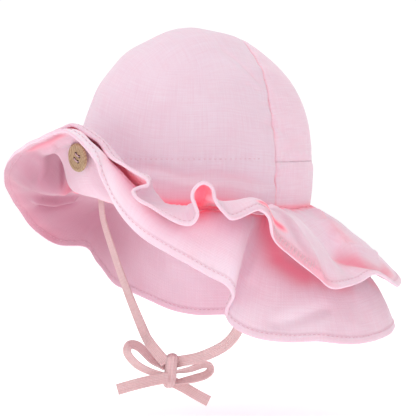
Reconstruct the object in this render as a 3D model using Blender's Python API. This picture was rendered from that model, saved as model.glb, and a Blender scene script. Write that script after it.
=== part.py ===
"""Baby sun hat with a turned-up visor, a neck flap and a bow under the chin.

Units are metres, +Z is up and the hat looks towards -Y. The origin is the middle of the head
opening at the back rim. A turn is an angle round +Z from the front (-Y) towards the wearer's
left (+X).
"""
import bpy
import bmesh
import math
import numpy as np

# crown
HALF_WIDE = 0.073        # half width, ear to ear
HALF_LONG = 0.088        # half length, brow to nape
CROWN_TALL = 0.130       # rim to top
CROWN_SWELL = 0.002      # the crown swells backwards by this at mid height
OVER_SEAM = 0.028        # the seam over the crown lies this far behind the middle
BAND_TOP = 0.034         # top of the low back panel
CROWN_ROUND = 3.3        # power that keeps the crown's sides upright
CROWN_FALL = 0.6         # power that rounds its top
RIM_TUCK = 0.015         # share by which the rim is drawn in
RIM_TUCK_TO = 0.14       # share of the height over which it is
# flounces
BRIM = 0.150             # reach of the widest fold from the crown's axis
DROP = 0.100             # height unit of the flounces
CLOTH = 0.0018           # wall of the sewn double cotton
GAP = 0.0004             # clearance between two pieces
TURN_BLEND = 0.2         # share of its way round that a fold has turned near either end
STEEP_RISE = 0.3         # rise at which the flap's seam lies lowest under the rim
STEEP_SINK = 0.7         # walls by which it then lies lower
# tape and bow
TAPE_WIDE = 0.0080
TAPE_THICK = 0.0014
CHIN = 0.100             # height unit of the ties
BOW = 0.025              # size unit of the bow
KNOT_LEAN = 0.05         # lean of the knot, share of BOW
KNOT_SQUARE = 0.6        # power that squares its section
KNOT_END = 6             # power that keeps its sides straight up to the rounded ends
# button
BUTTON_ACROSS = 0.0198
BUTTON_THICK = 0.0023
HOLE_ACROSS = 0.0020
HOLE_SPACING = 0.0041
THREAD_THICK = 0.0009
BUTTON_DISH = 0.0005     # depth of the hollow in its face
DISH_ACROSS = 0.72       # width of that hollow, share of the button
BUTTON_EDGE = 0.0005     # its bevel
BUTTON_LEAN = 12         # degrees by which its face looks up from the cloth under it
BUTTON_SPIN = 25         # degrees by which its holes are turned in its face
SEAT_REACH = 0.7         # cloth within this share of its width from its middle holds it up
# facets
DOME_TURNS, DOME_LEVELS = 48, 12
RUFFLE_STEPS, RUFFLE_DOWN = 4, 5
FLAP_STEPS, FLAP_DOWN = 3, 6
TIE_STEPS, LOOP_STEPS, TAIL_STEPS = 4, 3, 2
KNOT_SIDES, KNOT_LEVELS = 12, 8
BUTTON_SIDES, HOLE_SIDES = 24, 6
CUT_BOX = 0.4            # half size of the boxes that cut the crown into panels

PINK = (0.85, 0.53, 0.62, 1.0)
TAPE_PINK = (0.76, 0.45, 0.46, 1.0)
WOOD = (0.50, 0.33, 0.19, 1.0)
THREAD = (0.55, 0.20, 0.26, 1.0)

# heights of the crown's lower edge and of the seam that holds the upper ruffle, shares of DROP
RIM_COLUMNS = ("turn", "edge", "seam")
RIM = (
    (-150, -0.02, 0.01),
    (-110, 0.00, 0.03),
    (-70, 0.06, 0.09),
    (-35, 0.12, 0.15),
    (0, 0.15, 0.18),
    (18, 0.09, 0.125),
    (32, 0.035, 0.07),
    (50, 0.005, 0.04),
    (80, 0.01, 0.04),
    (100, -0.02, 0.012),
    (115, -0.03, 0.00),
    (145, -0.03, 0.00),
    (180, -0.03, 0.00),
)

# neck flap, one row for each fold or bend of its hem: the turn at the seam, the turn at the
# hem, the reach of the hem as a share of BRIM and its height as a share of DROP
FLAP_COLUMNS = ("turn", "hem_turn", "reach", "hem")
FLAP = (
    (-62, -62, 0.835, -0.29),
    (-48, -52, 0.87, -0.17),
    (-36, -42, 0.89, 0.00),
    (-24, -27, 0.90, 0.18),
    (-12, -10, 0.91, 0.33),
    (-2, 2, 0.925, 0.42),
    (8, 12, 0.93, 0.49),
    (17, 19, 0.925, 0.54),
    (23, 24, 0.92, 0.555),
    (28, 29, 0.90, 0.46),
    (32, 32, 0.87, 0.355),
    (36, 33.5, 0.84, 0.22),
    (40, 36.3, 0.813, 0.07),
    (46, 40.5, 0.793, -0.06),
    (54, 46.5, 0.78, -0.17),
    (63, 55, 0.76, -0.27),
    (76, 67, 0.733, -0.405),
    (88, 74.5, 0.707, -0.48),
    (95, 77.5, 0.672, -0.56),
    (98, 76, 0.63, -0.645),
    (101, 76.5, 0.62, -0.72),
    (104, 80, 0.66, -0.79),
    (108, 88, 0.72, -0.85),
    (113, 97, 0.76, -0.87),
    (119, 106, 0.82, -0.87),
    (128, 116, 0.89, -0.90),
    (140, 130, 0.93, -0.89),
    (155, 148, 0.953, -0.85),
    (175, 172, 0.95, -0.82),
    (195, 197, 0.90, -0.84),
    (215, 218, 0.80, -0.85),
    (232, 232, 0.733, -0.85),
    (243, 242, 0.72, -0.85),
    (254, 252, 0.707, -0.81),
    (264, 262, 0.693, -0.73),
    (272, 272, 0.68, -0.65),
    (279, 279, 0.685, -0.59),
    (285, 284, 0.72, -0.45),
    (291, 287, 0.775, -0.32),
)

# upper ruffle, the same columns
RUFFLE_COLUMNS = ("turn", "hem_turn", "reach", "hem")
RUFFLE = (
    (-60, -60, 0.80, 0.02),
    (-40, -38, 0.81, 0.20),
    (-22, -20, 0.83, 0.34),
    (-6, -2, 0.853, 0.44),
    (6, 11, 0.873, 0.51),
    (14, 19, 0.873, 0.57),
    (20, 23, 0.86, 0.595),
    (25, 26.5, 0.83, 0.54),
    (30, 30, 0.79, 0.475),
    (34, 33.5, 0.795, 0.39),
    (38, 41, 0.85, 0.325),
    (41.5, 46, 0.885, 0.27),
    (44, 48.9, 0.897, 0.23),
    (45.5, 49.2, 0.907, 0.195),
    (47.4, 46.9, 0.93, 0.178),
    (49, 46, 0.95, 0.155),
    (50.7, 47.6, 0.968, 0.11),
    (53, 51.4, 0.98, 0.06),
    (55.5, 56, 0.995, -0.015),
    (57.5, 59.5, 1.00, -0.05),
    (59.7, 62, 1.00, -0.045),
    (61, 63.3, 0.99, 0.02),
    (62.1, 61.8, 0.985, 0.12),
    (63.1, 62.5, 0.98, 0.18),
    (64.7, 64.7, 0.98, 0.212),
    (66.4, 66.9, 0.98, 0.18),
    (67.4, 67.8, 0.985, 0.105),
    (69.3, 69.9, 0.99, 0.025),
    (72.5, 72.3, 0.99, -0.02),
    (79.5, 78.3, 0.945, 0.03),
    (83, 81, 0.915, 0.035),
    (87, 84.5, 0.87, -0.02),
    (91, 87, 0.86, -0.17),
    (96, 93, 0.87, -0.29),
    (102, 101, 0.885, -0.42),
    (108, 106, 0.91, -0.505),
    (116, 115, 0.94, -0.47),
    (125, 124, 0.96, -0.43),
    (136, 136, 0.985, -0.53),
    (150, 151, 0.98, -0.50),
    (168, 168, 0.95, -0.46),
    (190, 190, 0.93, -0.52),
    (212, 212, 0.88, -0.42),
    (234, 234, 0.83, -0.40),
    (256, 256, 0.80, -0.30),
    (278, 278, 0.79, -0.18),
)

# how the two flounces leave the seam (out, rise) and reach the hem (back, lift), shares of
# BRIM and DROP, by turn at the seam
FLAP_BEND_COLUMNS = ("turn", "out", "rise", "back", "lift")
FLAP_BEND = (
    (-60, 0.10, 0.00, 0.04, 0.16),
    (-34, 0.12, 0.06, 0.10, -0.02),
    (-22, 0.14, 0.00, 0.08, -0.08),
    (-10, 0.22, -0.08, 0.12, -0.14),
    (-1, 0.12, 0.08, 0.33, 0.02),
    (6, 0.22, -0.02, 0.30, -0.04),
    (14, 0.27, 0.06, 0.31, 0.02),
    (22, 0.28, 0.16, 0.24, 0.04),
    (30, 0.21, 0.29, 0.05, 0.14),
    (38, 0.24, 0.32, 0.00, 0.26),
    (44, 0.22, 0.20, 0.00, 0.26),
    (50, 0.20, 0.00, 0.01, 0.20),
    (58, 0.17, -0.08, 0.02, 0.15),
    (68, 0.17, 0.00, 0.02, 0.20),
    (86, 0.16, 0.00, 0.00, 0.20),
    (99, 0.05, -0.02, 0.03, 0.30),
    (112, 0.08, -0.06, 0.06, 0.38),
    (128, 0.10, -0.16, 0.06, 0.36),
    (150, 0.10, -0.20, 0.05, 0.36),
    (200, 0.09, -0.16, 0.03, 0.34),
    (260, 0.12, 0.00, 0.02, 0.30),
)
RUFFLE_BEND_COLUMNS = ("turn", "out", "rise", "back", "lift")
RUFFLE_BEND = (
    (-60, 0.12, 0.06, 0.06, 0.04),
    (-20, 0.10, 0.14, 0.10, -0.02),
    (10, 0.08, 0.26, 0.16, 0.00),
    (22, 0.06, 0.34, 0.14, 0.00),
    (32, 0.09, 0.34, 0.05, 0.02),
    (39, 0.15, 0.23, 0.08, -0.02),
    (45, 0.19, 0.18, 0.12, 0.05),
    (50, 0.20, 0.05, 0.12, -0.07),
    (56, 0.22, -0.01, 0.10, 0.04),
    (61, 0.22, 0.06, 0.12, 0.03),
    (64.7, 0.22, 0.12, 0.12, 0.02),
    (72, 0.22, 0.06, 0.10, 0.10),
    (83, 0.24, 0.06, 0.04, 0.10),
    (92, 0.28, 0.06, 0.00, 0.15),
    (102, 0.28, 0.02, 0.00, 0.20),
    (110, 0.20, 0.00, 0.06, 0.20),
    (118, 0.10, -0.03, 0.18, 0.05),
    (132, 0.14, -0.06, 0.10, 0.16),
    (190, 0.12, -0.08, 0.10, 0.12),
    (260, 0.16, 0.04, 0.06, 0.12),
)

# the two ties from rim to knot: side and fore as shares of HALF_WIDE, height of CHIN, and the
# turn of the tape's flat face
TIE_COLUMNS = ("side", "fore", "up", "face")
TIE_FAR = (
    (-0.84, 0.62, 0.06, 20),
    (-0.82, 0.60, -0.10, 22),
    (-0.74, 0.52, -0.35, 26),
    (-0.60, 0.44, -0.62, 30),
    (-0.37, 0.38, -0.89, 40),
    (-0.20, 0.385, -0.98, 50),
    (-0.11, 0.298, -1.085, 60),
)
TIE_NEAR = (
    (0.86, 0.28, 0.02, 60),
    (0.90, 0.16, -0.25, 60),
    (0.86, -0.02, -0.58, 60),
    (0.68, -0.14, -0.80, 62),
    (0.46, -0.12, -0.955, 62),
    (0.20, 0.02, -1.06, 62),
    (-0.0535, 0.1285, -1.106, 62),
)

# the bow, in the plane that faces the wearer's left cheek: shares of BOW from the knot's
# middle; lay 0 has the tape's width towards the viewer, lay 90 shows its flat face
KNOT_SIDE, KNOT_FORE, KNOT_UP = -0.10, 0.21, -1.17
KNOT_WIDE, KNOT_DEEP, KNOT_TOP, KNOT_LOW = 0.19, 0.20, 0.49, -0.52
BOW_TURN = 62
BOW_COLUMNS = ("across", "up", "near", "lay")
LOOP_FAR = (
    (-0.265, 0.13, -0.02, 30),
    (-0.55, 0.30, -0.16, 30),
    (-0.93, 0.66, -0.22, 30),
    (-1.20, 0.70, -0.16, 30),
    (-1.24, 0.46, -0.08, 30),
    (-0.96, 0.15, 0.00, 30),
    (-0.59, -0.04, 0.00, 30),
    (-0.265, -0.12, 0.00, 30),
)
LOOP_NEAR = (
    (0.215, -0.04, 0.00, 20),
    (0.56, 0.02, 0.00, 20),
    (0.92, 0.15, 0.02, 25),
    (1.10, 0.14, 0.04, 25),
    (1.15, 0.00, 0.05, 25),
    (1.00, -0.14, 0.05, 25),
    (0.68, -0.24, 0.03, 25),
    (0.215, -0.34, 0.00, 20),
)
TAIL_FAR = (
    (-0.235, -0.22, 0.22, 80),
    (-0.64, -0.30, 0.22, 84),
    (-1.10, -0.42, 0.18, 84),
    (-1.53, -0.55, 0.12, 84),
)
TAIL_NEAR = (
    (0.04, -0.36, -0.245, 84),
    (0.40, -0.54, -0.24, 84),
    (0.75, -0.73, -0.12, 84),
    (1.10, -0.91, -0.06, 84),
)

# the button lies between these rows of the flap, this share of the way from seam to hem, and
# covers this many rows and this share each way
BUTTON_ROW = 7.5
BUTTON_ROWS = 0.7
BUTTON_SHARE = 0.52
BUTTON_SPAN = 0.16


def column(rows, names, name):
    """One named column of a table as numbers."""
    return np.array([row[names.index(name)] for row in rows], float)


def round_table(rows, names, name, turn):
    """A column read smoothly at any turn, going once round the hat."""
    x = column(rows, names, "turn")
    y = column(rows, names, name)
    n = len(x)
    x = np.concatenate((x - 360.0, x, x + 360.0))
    y = np.tile(y, 3)
    t = np.mod(np.asarray(turn, float) - x[n], 360.0) + x[n]
    k = np.clip(np.searchsorted(x, t, side="right") - 1, 1, 3 * n - 3)
    s = (t - x[k]) / (x[k + 1] - x[k])
    left = (y[k + 1] - y[k - 1]) / (x[k + 1] - x[k - 1]) * (x[k + 1] - x[k])
    right = (y[k + 2] - y[k]) / (x[k + 2] - x[k]) * (x[k + 1] - x[k])
    return ((2 * s**3 - 3 * s**2 + 1) * y[k] + (s**3 - 2 * s**2 + s) * left
            + (3 * s**2 - 2 * s**3) * y[k + 1] + (s**3 - s**2) * right)


def through(values, steps, closed, wrap=0.0):
    """Catmull-Rom curve through values, with a number of steps in each span."""
    v = np.asarray(values, float)
    n = len(v)
    if closed:
        before, after = v[-1:] - wrap, v[:2] + wrap
        spans = n
    else:
        before, after = 2 * v[:1] - v[1:2], 2 * v[-1:] - v[-2:-1]
        spans = n - 1
    q = np.concatenate((before, v, after))
    u = np.arange(spans * steps + (0 if closed else 1)) / steps
    k = np.minimum(u.astype(int), spans - 1)
    s = (u - k)[:, None]
    a, b, c, d = q[k], q[k + 1], q[k + 2], q[k + 3]
    return 0.5 * (2 * b + (c - a) * s + (2 * a - 5 * b + 4 * c - d) * s**2
                  + (3 * b - a - 3 * c + d) * s**3)


def at(turn, reach, up):
    """A point at a turn round the crown's axis."""
    t = np.radians(turn)
    return np.stack((reach * np.sin(t), -reach * np.cos(t), up + 0 * t), -1)


def crown_reach(turn, up, inset=0.0):
    """Distance of the crown's wall from its axis at a turn and a height."""
    u = np.clip(up / CROWN_TALL, 0.0, 1.0)
    tuck = 1 - RIM_TUCK * np.clip(1 - u / RIM_TUCK_TO, 0, 1) ** 2
    share = (1 - u**CROWN_ROUND) ** CROWN_FALL * tuck
    t = np.radians(turn)
    wide, long = HALF_WIDE - inset, HALF_LONG - inset
    return share / np.sqrt((np.sin(t) / wide) ** 2 + (np.cos(t) / long) ** 2)


def crown_point(turn, level, inset=0.0):
    """The crown's wall: level 0 is the lower edge and level 1 the top."""
    low = round_table(RIM, RIM_COLUMNS, "edge", turn) * DROP
    top = CROWN_TALL - inset
    up = low + (top - low) * (1 - (1 - level) ** 2)
    reach = crown_reach(turn, up * CROWN_TALL / top, inset)
    p = at(turn, reach, up)
    p[..., 1] += CROWN_SWELL * np.sin(np.pi * np.clip(up / CROWN_TALL, 0, 1))
    return p


def shell(name, front, back, closed_round, colour):
    """A closed body between two grids of points, rows along the first axis."""
    rows, cols = front.shape[:2]
    bm = bmesh.new()
    a = [[bm.verts.new(p) for p in row] for row in front]
    b = [[bm.verts.new(p) for p in row] for row in back]
    last = rows if closed_round else rows - 1
    for i in range(last):
        j = (i + 1) % rows
        for k in range(cols - 1):
            bm.faces.new((a[i][k], a[j][k], a[j][k + 1], a[i][k + 1]))
            bm.faces.new((b[i][k], b[i][k + 1], b[j][k + 1], b[j][k]))
        bm.faces.new((a[i][0], b[i][0], b[j][0], a[j][0]))
        bm.faces.new((a[i][-1], a[j][-1], b[j][-1], b[i][-1]))
    if not closed_round:
        for i, flip in ((0, True), (rows - 1, False)):
            for k in range(cols - 1):
                quad = (a[i][k], a[i][k + 1], b[i][k + 1], b[i][k])
                bm.faces.new(quad if flip else quad[::-1])
    bmesh.ops.recalc_face_normals(bm, faces=bm.faces)
    return body(name, bm, colour)


def material(name, colour, rough):
    m = bpy.data.materials.new(name)
    m.use_nodes = True
    shader = m.node_tree.nodes["Principled BSDF"]
    shader.inputs["Base Color"].default_value = colour
    shader.inputs["Roughness"].default_value = rough
    m.diffuse_color = colour
    return m


def body(name, bm, colour, rough=0.85):
    mesh = bpy.data.meshes.new(name)
    bm.to_mesh(mesh)
    bm.free()
    obj = bpy.data.objects.new(name, mesh)
    bpy.context.scene.collection.objects.link(obj)
    mesh.materials.append(material(name + "_stuff", colour, rough))
    for face in mesh.polygons:
        face.use_smooth = True
    return obj


def grid_normals(p, closed_round):
    """Unit normals of a grid of points."""
    if closed_round:
        du = np.roll(p, -1, 0) - np.roll(p, 1, 0)
    else:
        du = np.gradient(p, axis=0)
    dv = np.gradient(p, axis=1)
    n = np.cross(du, dv)
    return n / np.maximum(np.linalg.norm(n, axis=-1, keepdims=True), 1e-12)


def dome(name, turns, levels):
    """The crown's wall before it is cut into panels, open below."""
    bm = bmesh.new()
    turn = np.arange(turns) * 360.0 / turns
    level = np.linspace(0, 1, levels + 1)[:-1]
    rings = []
    for inset in (0.0, CLOTH):
        p = crown_point(turn[:, None], level[None, :], inset)
        ring = [[bm.verts.new(q) for q in row] for row in p]
        top = bm.verts.new(crown_point(np.array(0.0), np.array(1.0), inset))
        rings.append((ring, top))
    (a, a_top), (b, b_top) = rings
    for i in range(turns):
        j = (i + 1) % turns
        for k in range(levels - 1):
            bm.faces.new((a[i][k], a[j][k], a[j][k + 1], a[i][k + 1]))
            bm.faces.new((b[i][k], b[i][k + 1], b[j][k + 1], b[j][k]))
        bm.faces.new((a[i][0], b[i][0], b[j][0], a[j][0]))
        bm.faces.new((a[i][-1], a[j][-1], a_top))
        bm.faces.new((b[i][-1], b_top, b[j][-1]))
    bmesh.ops.recalc_face_normals(bm, faces=bm.faces)
    return body(name, bm, PINK)


def settle(obj):
    """Turn a body's modifiers into its mesh."""
    bpy.context.view_layer.update()
    graph = bpy.context.evaluated_depsgraph_get()
    mesh = bpy.data.meshes.new_from_object(obj.evaluated_get(graph))
    obj.modifiers.clear()
    obj.data = mesh
    mesh.name = obj.name


def keep_inside(obj, low, high):
    """Cut a body to the box between two corners."""
    bm = bmesh.new()
    bmesh.ops.create_cube(bm, size=1.0)
    for v in bm.verts:
        v.co = [low[i] + (v.co[i] + 0.5) * (high[i] - low[i]) for i in range(3)]
    box = body("cutting_box", bm, PINK)
    cut = obj.modifiers.new("cut", "BOOLEAN")
    cut.operation = "INTERSECT"
    cut.solver = "EXACT"
    cut.object = box
    settle(obj)
    bpy.data.objects.remove(box, do_unlink=True)


def flounce_rows(rows, names, steps):
    """Stations round the hat, with a number of steps between two rows."""
    table = np.stack([column(rows, names, n) for n in names], -1)
    return through(table, steps, True, np.array([360.0, 360.0, 0.0, 0.0]))


def flounce_points(stations, bend, bend_names, seam_out, seam_up, share):
    """Middle surface of a flounce: a cubic from the seam to the hem at each station."""
    turn, hem_turn, reach, hem = stations.T
    out, rise, back, lift = (round_table(bend, bend_names, n, turn)
                             for n in ("out", "rise", "back", "lift"))
    up = seam_up(turn)
    start = crown_reach(turn, up) + seam_out
    p0 = at(turn, start, up)
    swing = (hem_turn - turn) * TURN_BLEND
    p1 = at(turn + swing, start + out * BRIM, up + rise * DROP)
    p2 = at(hem_turn - swing, (reach - back) * BRIM, (hem + lift) * DROP)
    p3 = at(hem_turn, reach * BRIM, hem * DROP)
    s = np.asarray(share, float)[None, :, None]
    p0, p1, p2, p3 = (p[:, None, :] for p in (p0, p1, p2, p3))
    return (1 - s)**3 * p0 + 3 * s * (1 - s)**2 * p1 + 3 * s * s * (1 - s) * p2 + s**3 * p3


def ruffle_points(stations, share):
    return flounce_points(stations, RUFFLE_BEND, RUFFLE_BEND_COLUMNS, CLOTH / 2 + GAP,
                          ruffle_seam, share)


def flap_points(stations, share):
    return flounce_points(stations, FLAP_BEND, FLAP_BEND_COLUMNS, 0.0, flap_seam, share)


def flounce(name, middle):
    n = grid_normals(middle, True)
    return shell(name, middle + n * CLOTH / 2, middle - n * CLOTH / 2, True, PINK)


def ruffle_seam(turn):
    return round_table(RIM, RIM_COLUMNS, "seam", turn) * DROP


def flap_seam(turn):
    rise = round_table(FLAP_BEND, FLAP_BEND_COLUMNS, "rise", turn)
    sink = STEEP_SINK * np.clip(rise / STEEP_RISE, 0, 1)
    edge = round_table(RIM, RIM_COLUMNS, "edge", turn) * DROP
    return edge - GAP - CLOTH * (0.5 + sink)


def ribbon(name, middle, across, wide, thick, colour):
    """A flat tape along a line of points; across is the direction of its width."""
    along = np.gradient(middle, axis=0)
    along /= np.linalg.norm(along, axis=1, keepdims=True)
    across = across - along * np.sum(across * along, axis=1, keepdims=True)
    across /= np.linalg.norm(across, axis=1, keepdims=True)
    flat = np.cross(along, across)
    w, h = across * wide / 2, flat * thick / 2
    front = np.stack((middle - w + h, middle + w + h), 1)
    back = np.stack((middle - w - h, middle + w - h), 1)
    return shell(name, front, back, False, colour)


def tie(name, rows, steps):
    p = np.stack([column(rows, TIE_COLUMNS, n) for n in TIE_COLUMNS], -1)
    q = through(p, steps, False)
    middle = np.stack((q[:, 0] * HALF_WIDE, -q[:, 1] * HALF_WIDE, q[:, 2] * CHIN), -1)
    face = np.radians(q[:, 3])
    flat = np.stack((np.sin(face), -np.cos(face), 0 * face), -1)
    along = np.gradient(middle, axis=0)
    return ribbon(name, middle, np.cross(flat, along), TAPE_WIDE, TAPE_THICK, TAPE_PINK)


def bow_frame():
    """The bow's middle and its directions: across, up and near."""
    t = math.radians(BOW_TURN)
    middle = np.array((KNOT_SIDE * HALF_WIDE, -KNOT_FORE * HALF_WIDE, KNOT_UP * CHIN))
    return (middle, np.array((math.cos(t), math.sin(t), 0.0)), np.array((0.0, 0.0, 1.0)),
            np.array((math.sin(t), -math.cos(t), 0.0)))


def bow_tape(name, rows, steps):
    p = np.stack([column(rows, BOW_COLUMNS, n) for n in BOW_COLUMNS], -1)
    q = through(p, steps, False)
    middle, across, up, near = bow_frame()
    line = middle + BOW * (q[:, :1] * across + q[:, 1:2] * up + q[:, 2:3] * near)
    along = np.gradient(line, axis=0)
    along /= np.linalg.norm(along, axis=1, keepdims=True)
    lay = np.radians(q[:, 3:4])
    width = np.cos(lay) * near + np.sin(lay) * np.cross(near, along)
    return ribbon(name, line, width, TAPE_WIDE, TAPE_THICK, TAPE_PINK)


def rings_body(name, rings, colour, rough=0.85):
    """A closed body from rings of points, capped at both ends."""
    bm = bmesh.new()
    v = [[bm.verts.new(p) for p in ring] for ring in rings]
    n = len(v[0])
    for a, b in zip(v[:-1], v[1:]):
        for i in range(n):
            j = (i + 1) % n
            bm.faces.new((a[i], a[j], b[j], b[i]))
    bm.faces.new(v[0][::-1])
    bm.faces.new(v[-1])
    bmesh.ops.recalc_face_normals(bm, faces=bm.faces)
    return body(name, bm, colour, rough)


def knot(name, sides, levels):
    """The band round the bow's middle: a standing roll with a squared section."""
    middle, across, up, near = bow_frame()
    t = np.arange(sides) * 2 * np.pi / sides
    c, s = np.cos(t), np.sin(t)
    square_c = np.sign(c) * np.abs(c) ** KNOT_SQUARE
    square_s = np.sign(s) * np.abs(s) ** KNOT_SQUARE
    rings = []
    for angle in np.linspace(0, math.pi, levels + 3)[1:-1]:
        h = -math.cos(angle)
        wide = (1 - abs(h) ** KNOT_END) ** 0.5
        high = (KNOT_TOP + KNOT_LOW) / 2 + h * (KNOT_TOP - KNOT_LOW) / 2
        side = KNOT_LEAN * h + KNOT_WIDE * wide * square_c
        deep = KNOT_DEEP * wide * square_s
        rings.append(middle + BOW * (high * up + side[:, None] * across + deep[:, None] * near))
    return rings_body(name, rings, TAPE_PINK)


def button_frame():
    """Where the button lies on the visor: middle of its back, its three directions, and how far
    its middle stands off the cloth."""
    table = np.array(FLAP, float)
    place = BUTTON_ROW + np.array((-BUTTON_ROWS, 0.0, BUTTON_ROWS))
    index = np.arange(len(table))
    before, here, after = np.stack([np.interp(place, index, c) for c in table.T], -1)
    stations = np.stack((before, (before + here) / 2, here, (here + after) / 2, after))
    shares = BUTTON_SHARE + BUTTON_SPAN * np.linspace(-1, 1, 5)
    p = flap_points(stations, shares)
    middle = p[2, 2]
    normal = np.cross(p[-1, 2] - p[0, 2], p[2, -1] - p[2, 0])
    normal /= np.linalg.norm(normal)
    if normal[1] > 0:
        normal = -normal
    up_way = p[2, -1] - p[2, 0]
    up_way = up_way - normal * np.dot(up_way, normal)
    up_way /= np.linalg.norm(up_way)
    lean, spin = math.radians(BUTTON_LEAN), math.radians(BUTTON_SPIN)
    normal, up_way = (normal * math.cos(lean) + up_way * math.sin(lean),
                      up_way * math.cos(lean) - normal * math.sin(lean))
    x = np.cross(up_way, normal)
    x, y = x * math.cos(spin) - up_way * math.sin(spin), up_way * math.cos(spin) + x * math.sin(spin)
    flat = p - middle - ((p - middle) @ normal)[..., None] * normal
    near = np.linalg.norm(flat, axis=-1) < BUTTON_ACROSS * SEAT_REACH
    stand = max(np.max(((p - middle) @ normal)[near]), THREAD_THICK + GAP)
    lift = stand + CLOTH / 2 + GAP
    return middle + normal * lift, x, y, normal, stand


def disc(name, frame, low, high, radius, centre, sides, colour, bevel=0.0):
    """A round plate or pin between two heights over the button's frame."""
    middle, x, y, n, stand = frame
    t = np.arange(sides) * 2 * np.pi / sides
    ring = np.cos(t)[:, None] * x + np.sin(t)[:, None] * y
    base = middle + centre[0] * x + centre[1] * y
    levels = [(low, radius)] if not bevel else [(low, radius - bevel), (low + bevel, radius)]
    levels += [(high, radius)] if not bevel else [(high - bevel, radius), (high, radius - bevel)]
    return rings_body(name, [base + n * z + ring * r for z, r in levels], colour, 0.5)


def cut_away(obj, tool):
    cut = obj.modifiers.new("cut", "BOOLEAN")
    cut.operation = "DIFFERENCE"
    cut.solver = "EXACT"
    cut.object = tool
    settle(obj)
    bpy.data.objects.remove(tool, do_unlink=True)


def button():
    frame = button_frame()
    plate = disc("button", frame, 0.0, BUTTON_THICK, BUTTON_ACROSS / 2, (0, 0), BUTTON_SIDES,
                 WOOD, BUTTON_EDGE)
    cut_away(plate, disc("hollow", frame, BUTTON_THICK - BUTTON_DISH, BUTTON_THICK * 2,
                         BUTTON_ACROSS / 2 * DISH_ACROSS, (0, 0), BUTTON_SIDES, WOOD))
    h = HOLE_SPACING / 2
    for x, y in ((-h, -h), (h, -h), (h, h), (-h, h)):
        cut_away(plate, disc("hole", frame, -BUTTON_THICK, BUTTON_THICK * 2, HOLE_ACROSS / 2,
                             (x, y), HOLE_SIDES, WOOD))
    return plate


def square_cord(points, half):
    """Rings of a square cord along straight runs, mitred at each corner."""
    points = [np.asarray(p, float) for p in points]
    ways = [(b - a) / np.linalg.norm(b - a) for a, b in zip(points[:-1], points[1:])]
    side = np.cross(ways[0], ways[1])
    side /= np.linalg.norm(side)
    other = np.cross(ways[0], side)
    offsets = [half * (a * side + b * other) for a, b in ((-1, -1), (1, -1), (1, 1), (-1, 1))]
    rings = [[points[0] + o for o in offsets]]
    for point, way, following in zip(points[1:-1], ways[:-1], ways[1:]):
        mitred = [o - way * np.dot(o, following) / (1 + np.dot(way, following)) for o in offsets]
        rings.append([point + o for o in mitred])
        offsets = [o - following * np.dot(o, following) for o in mitred]
    rings.append([points[-1] + o for o in offsets])
    return rings


def button_thread():
    """One thread up and down through the four holes, with its crossing under the button."""
    middle, x, y, n, stand = button_frame()
    h, r = HOLE_SPACING / 2, THREAD_THICK / 2
    high = BUTTON_THICK - BUTTON_DISH + r + GAP
    low = r - stand + HOLE_SPACING * math.sin(math.radians(BUTTON_LEAN))
    route = ((-h, -h, low), (-h, -h, high), (h, -h, high), (h, -h, low),
             (h, h, low), (h, h, high), (-h, h, high), (-h, h, low))
    points = [middle + a * x + b * y + c * n for a, b, c in route]
    return rings_body("button_thread", square_cord(points, r), THREAD)


def build():
    for obj in list(bpy.data.objects):
        bpy.data.objects.remove(obj, do_unlink=True)
    far = CUT_BOX
    front = dome("crown_front", DOME_TURNS, DOME_LEVELS)
    keep_inside(front, (-far, -far, -far), (far, OVER_SEAM - GAP / 2, far))
    rear = dome("crown_back", DOME_TURNS, DOME_LEVELS)
    keep_inside(rear, (-far, OVER_SEAM + GAP / 2, BAND_TOP + GAP / 2), (far, far, far))
    band = dome("back_band", DOME_TURNS, DOME_LEVELS)
    keep_inside(band, (-far, OVER_SEAM + GAP / 2, -far), (far, far, BAND_TOP - GAP / 2))
    ruffle = flounce_rows(RUFFLE, RUFFLE_COLUMNS, RUFFLE_STEPS)
    flounce("upper_ruffle", ruffle_points(ruffle, np.linspace(0, 1, RUFFLE_DOWN + 1)))
    flap = flounce_rows(FLAP, FLAP_COLUMNS, FLAP_STEPS)
    flounce("neck_flap", flap_points(flap, np.linspace(0, 1, FLAP_DOWN + 1)))
    button()
    button_thread()
    tie("tie_far", TIE_FAR, TIE_STEPS)
    tie("tie_near", TIE_NEAR, TIE_STEPS)
    knot("bow_knot", KNOT_SIDES, KNOT_LEVELS)
    bow_tape("bow_loop_far", LOOP_FAR, LOOP_STEPS)
    bow_tape("bow_loop_near", LOOP_NEAR, LOOP_STEPS)
    bow_tape("bow_tail_far", TAIL_FAR, TAIL_STEPS)
    bow_tape("bow_tail_near", TAIL_NEAR, TAIL_STEPS)


build()
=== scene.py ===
"""Looks of the baby sun hat: cotton cloth, tape ties, wooden button, floor, light and camera.

Metres, +Z up, the visor looks towards -Y. A turn is an angle round +Z from the front (-Y)
towards the wearer's left (+X). Each cloth surface is a function of two parameters on a grid.
"""
import math

import bmesh
import bpy
import numpy as np
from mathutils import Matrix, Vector


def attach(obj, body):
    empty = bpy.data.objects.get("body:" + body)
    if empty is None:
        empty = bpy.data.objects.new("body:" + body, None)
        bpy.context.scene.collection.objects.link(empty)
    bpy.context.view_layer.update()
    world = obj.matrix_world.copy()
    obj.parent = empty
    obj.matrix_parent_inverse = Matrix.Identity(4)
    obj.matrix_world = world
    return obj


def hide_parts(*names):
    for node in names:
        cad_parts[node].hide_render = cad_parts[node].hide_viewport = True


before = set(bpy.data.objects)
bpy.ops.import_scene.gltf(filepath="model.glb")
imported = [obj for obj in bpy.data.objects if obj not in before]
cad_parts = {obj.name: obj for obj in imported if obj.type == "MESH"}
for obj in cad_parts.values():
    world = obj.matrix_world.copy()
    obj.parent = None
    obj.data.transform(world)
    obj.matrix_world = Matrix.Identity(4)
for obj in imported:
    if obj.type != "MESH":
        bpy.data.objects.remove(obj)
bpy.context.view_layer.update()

# sizes of the hat, as in the solids
HALF_WIDE = 0.073        # half width of the crown
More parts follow.
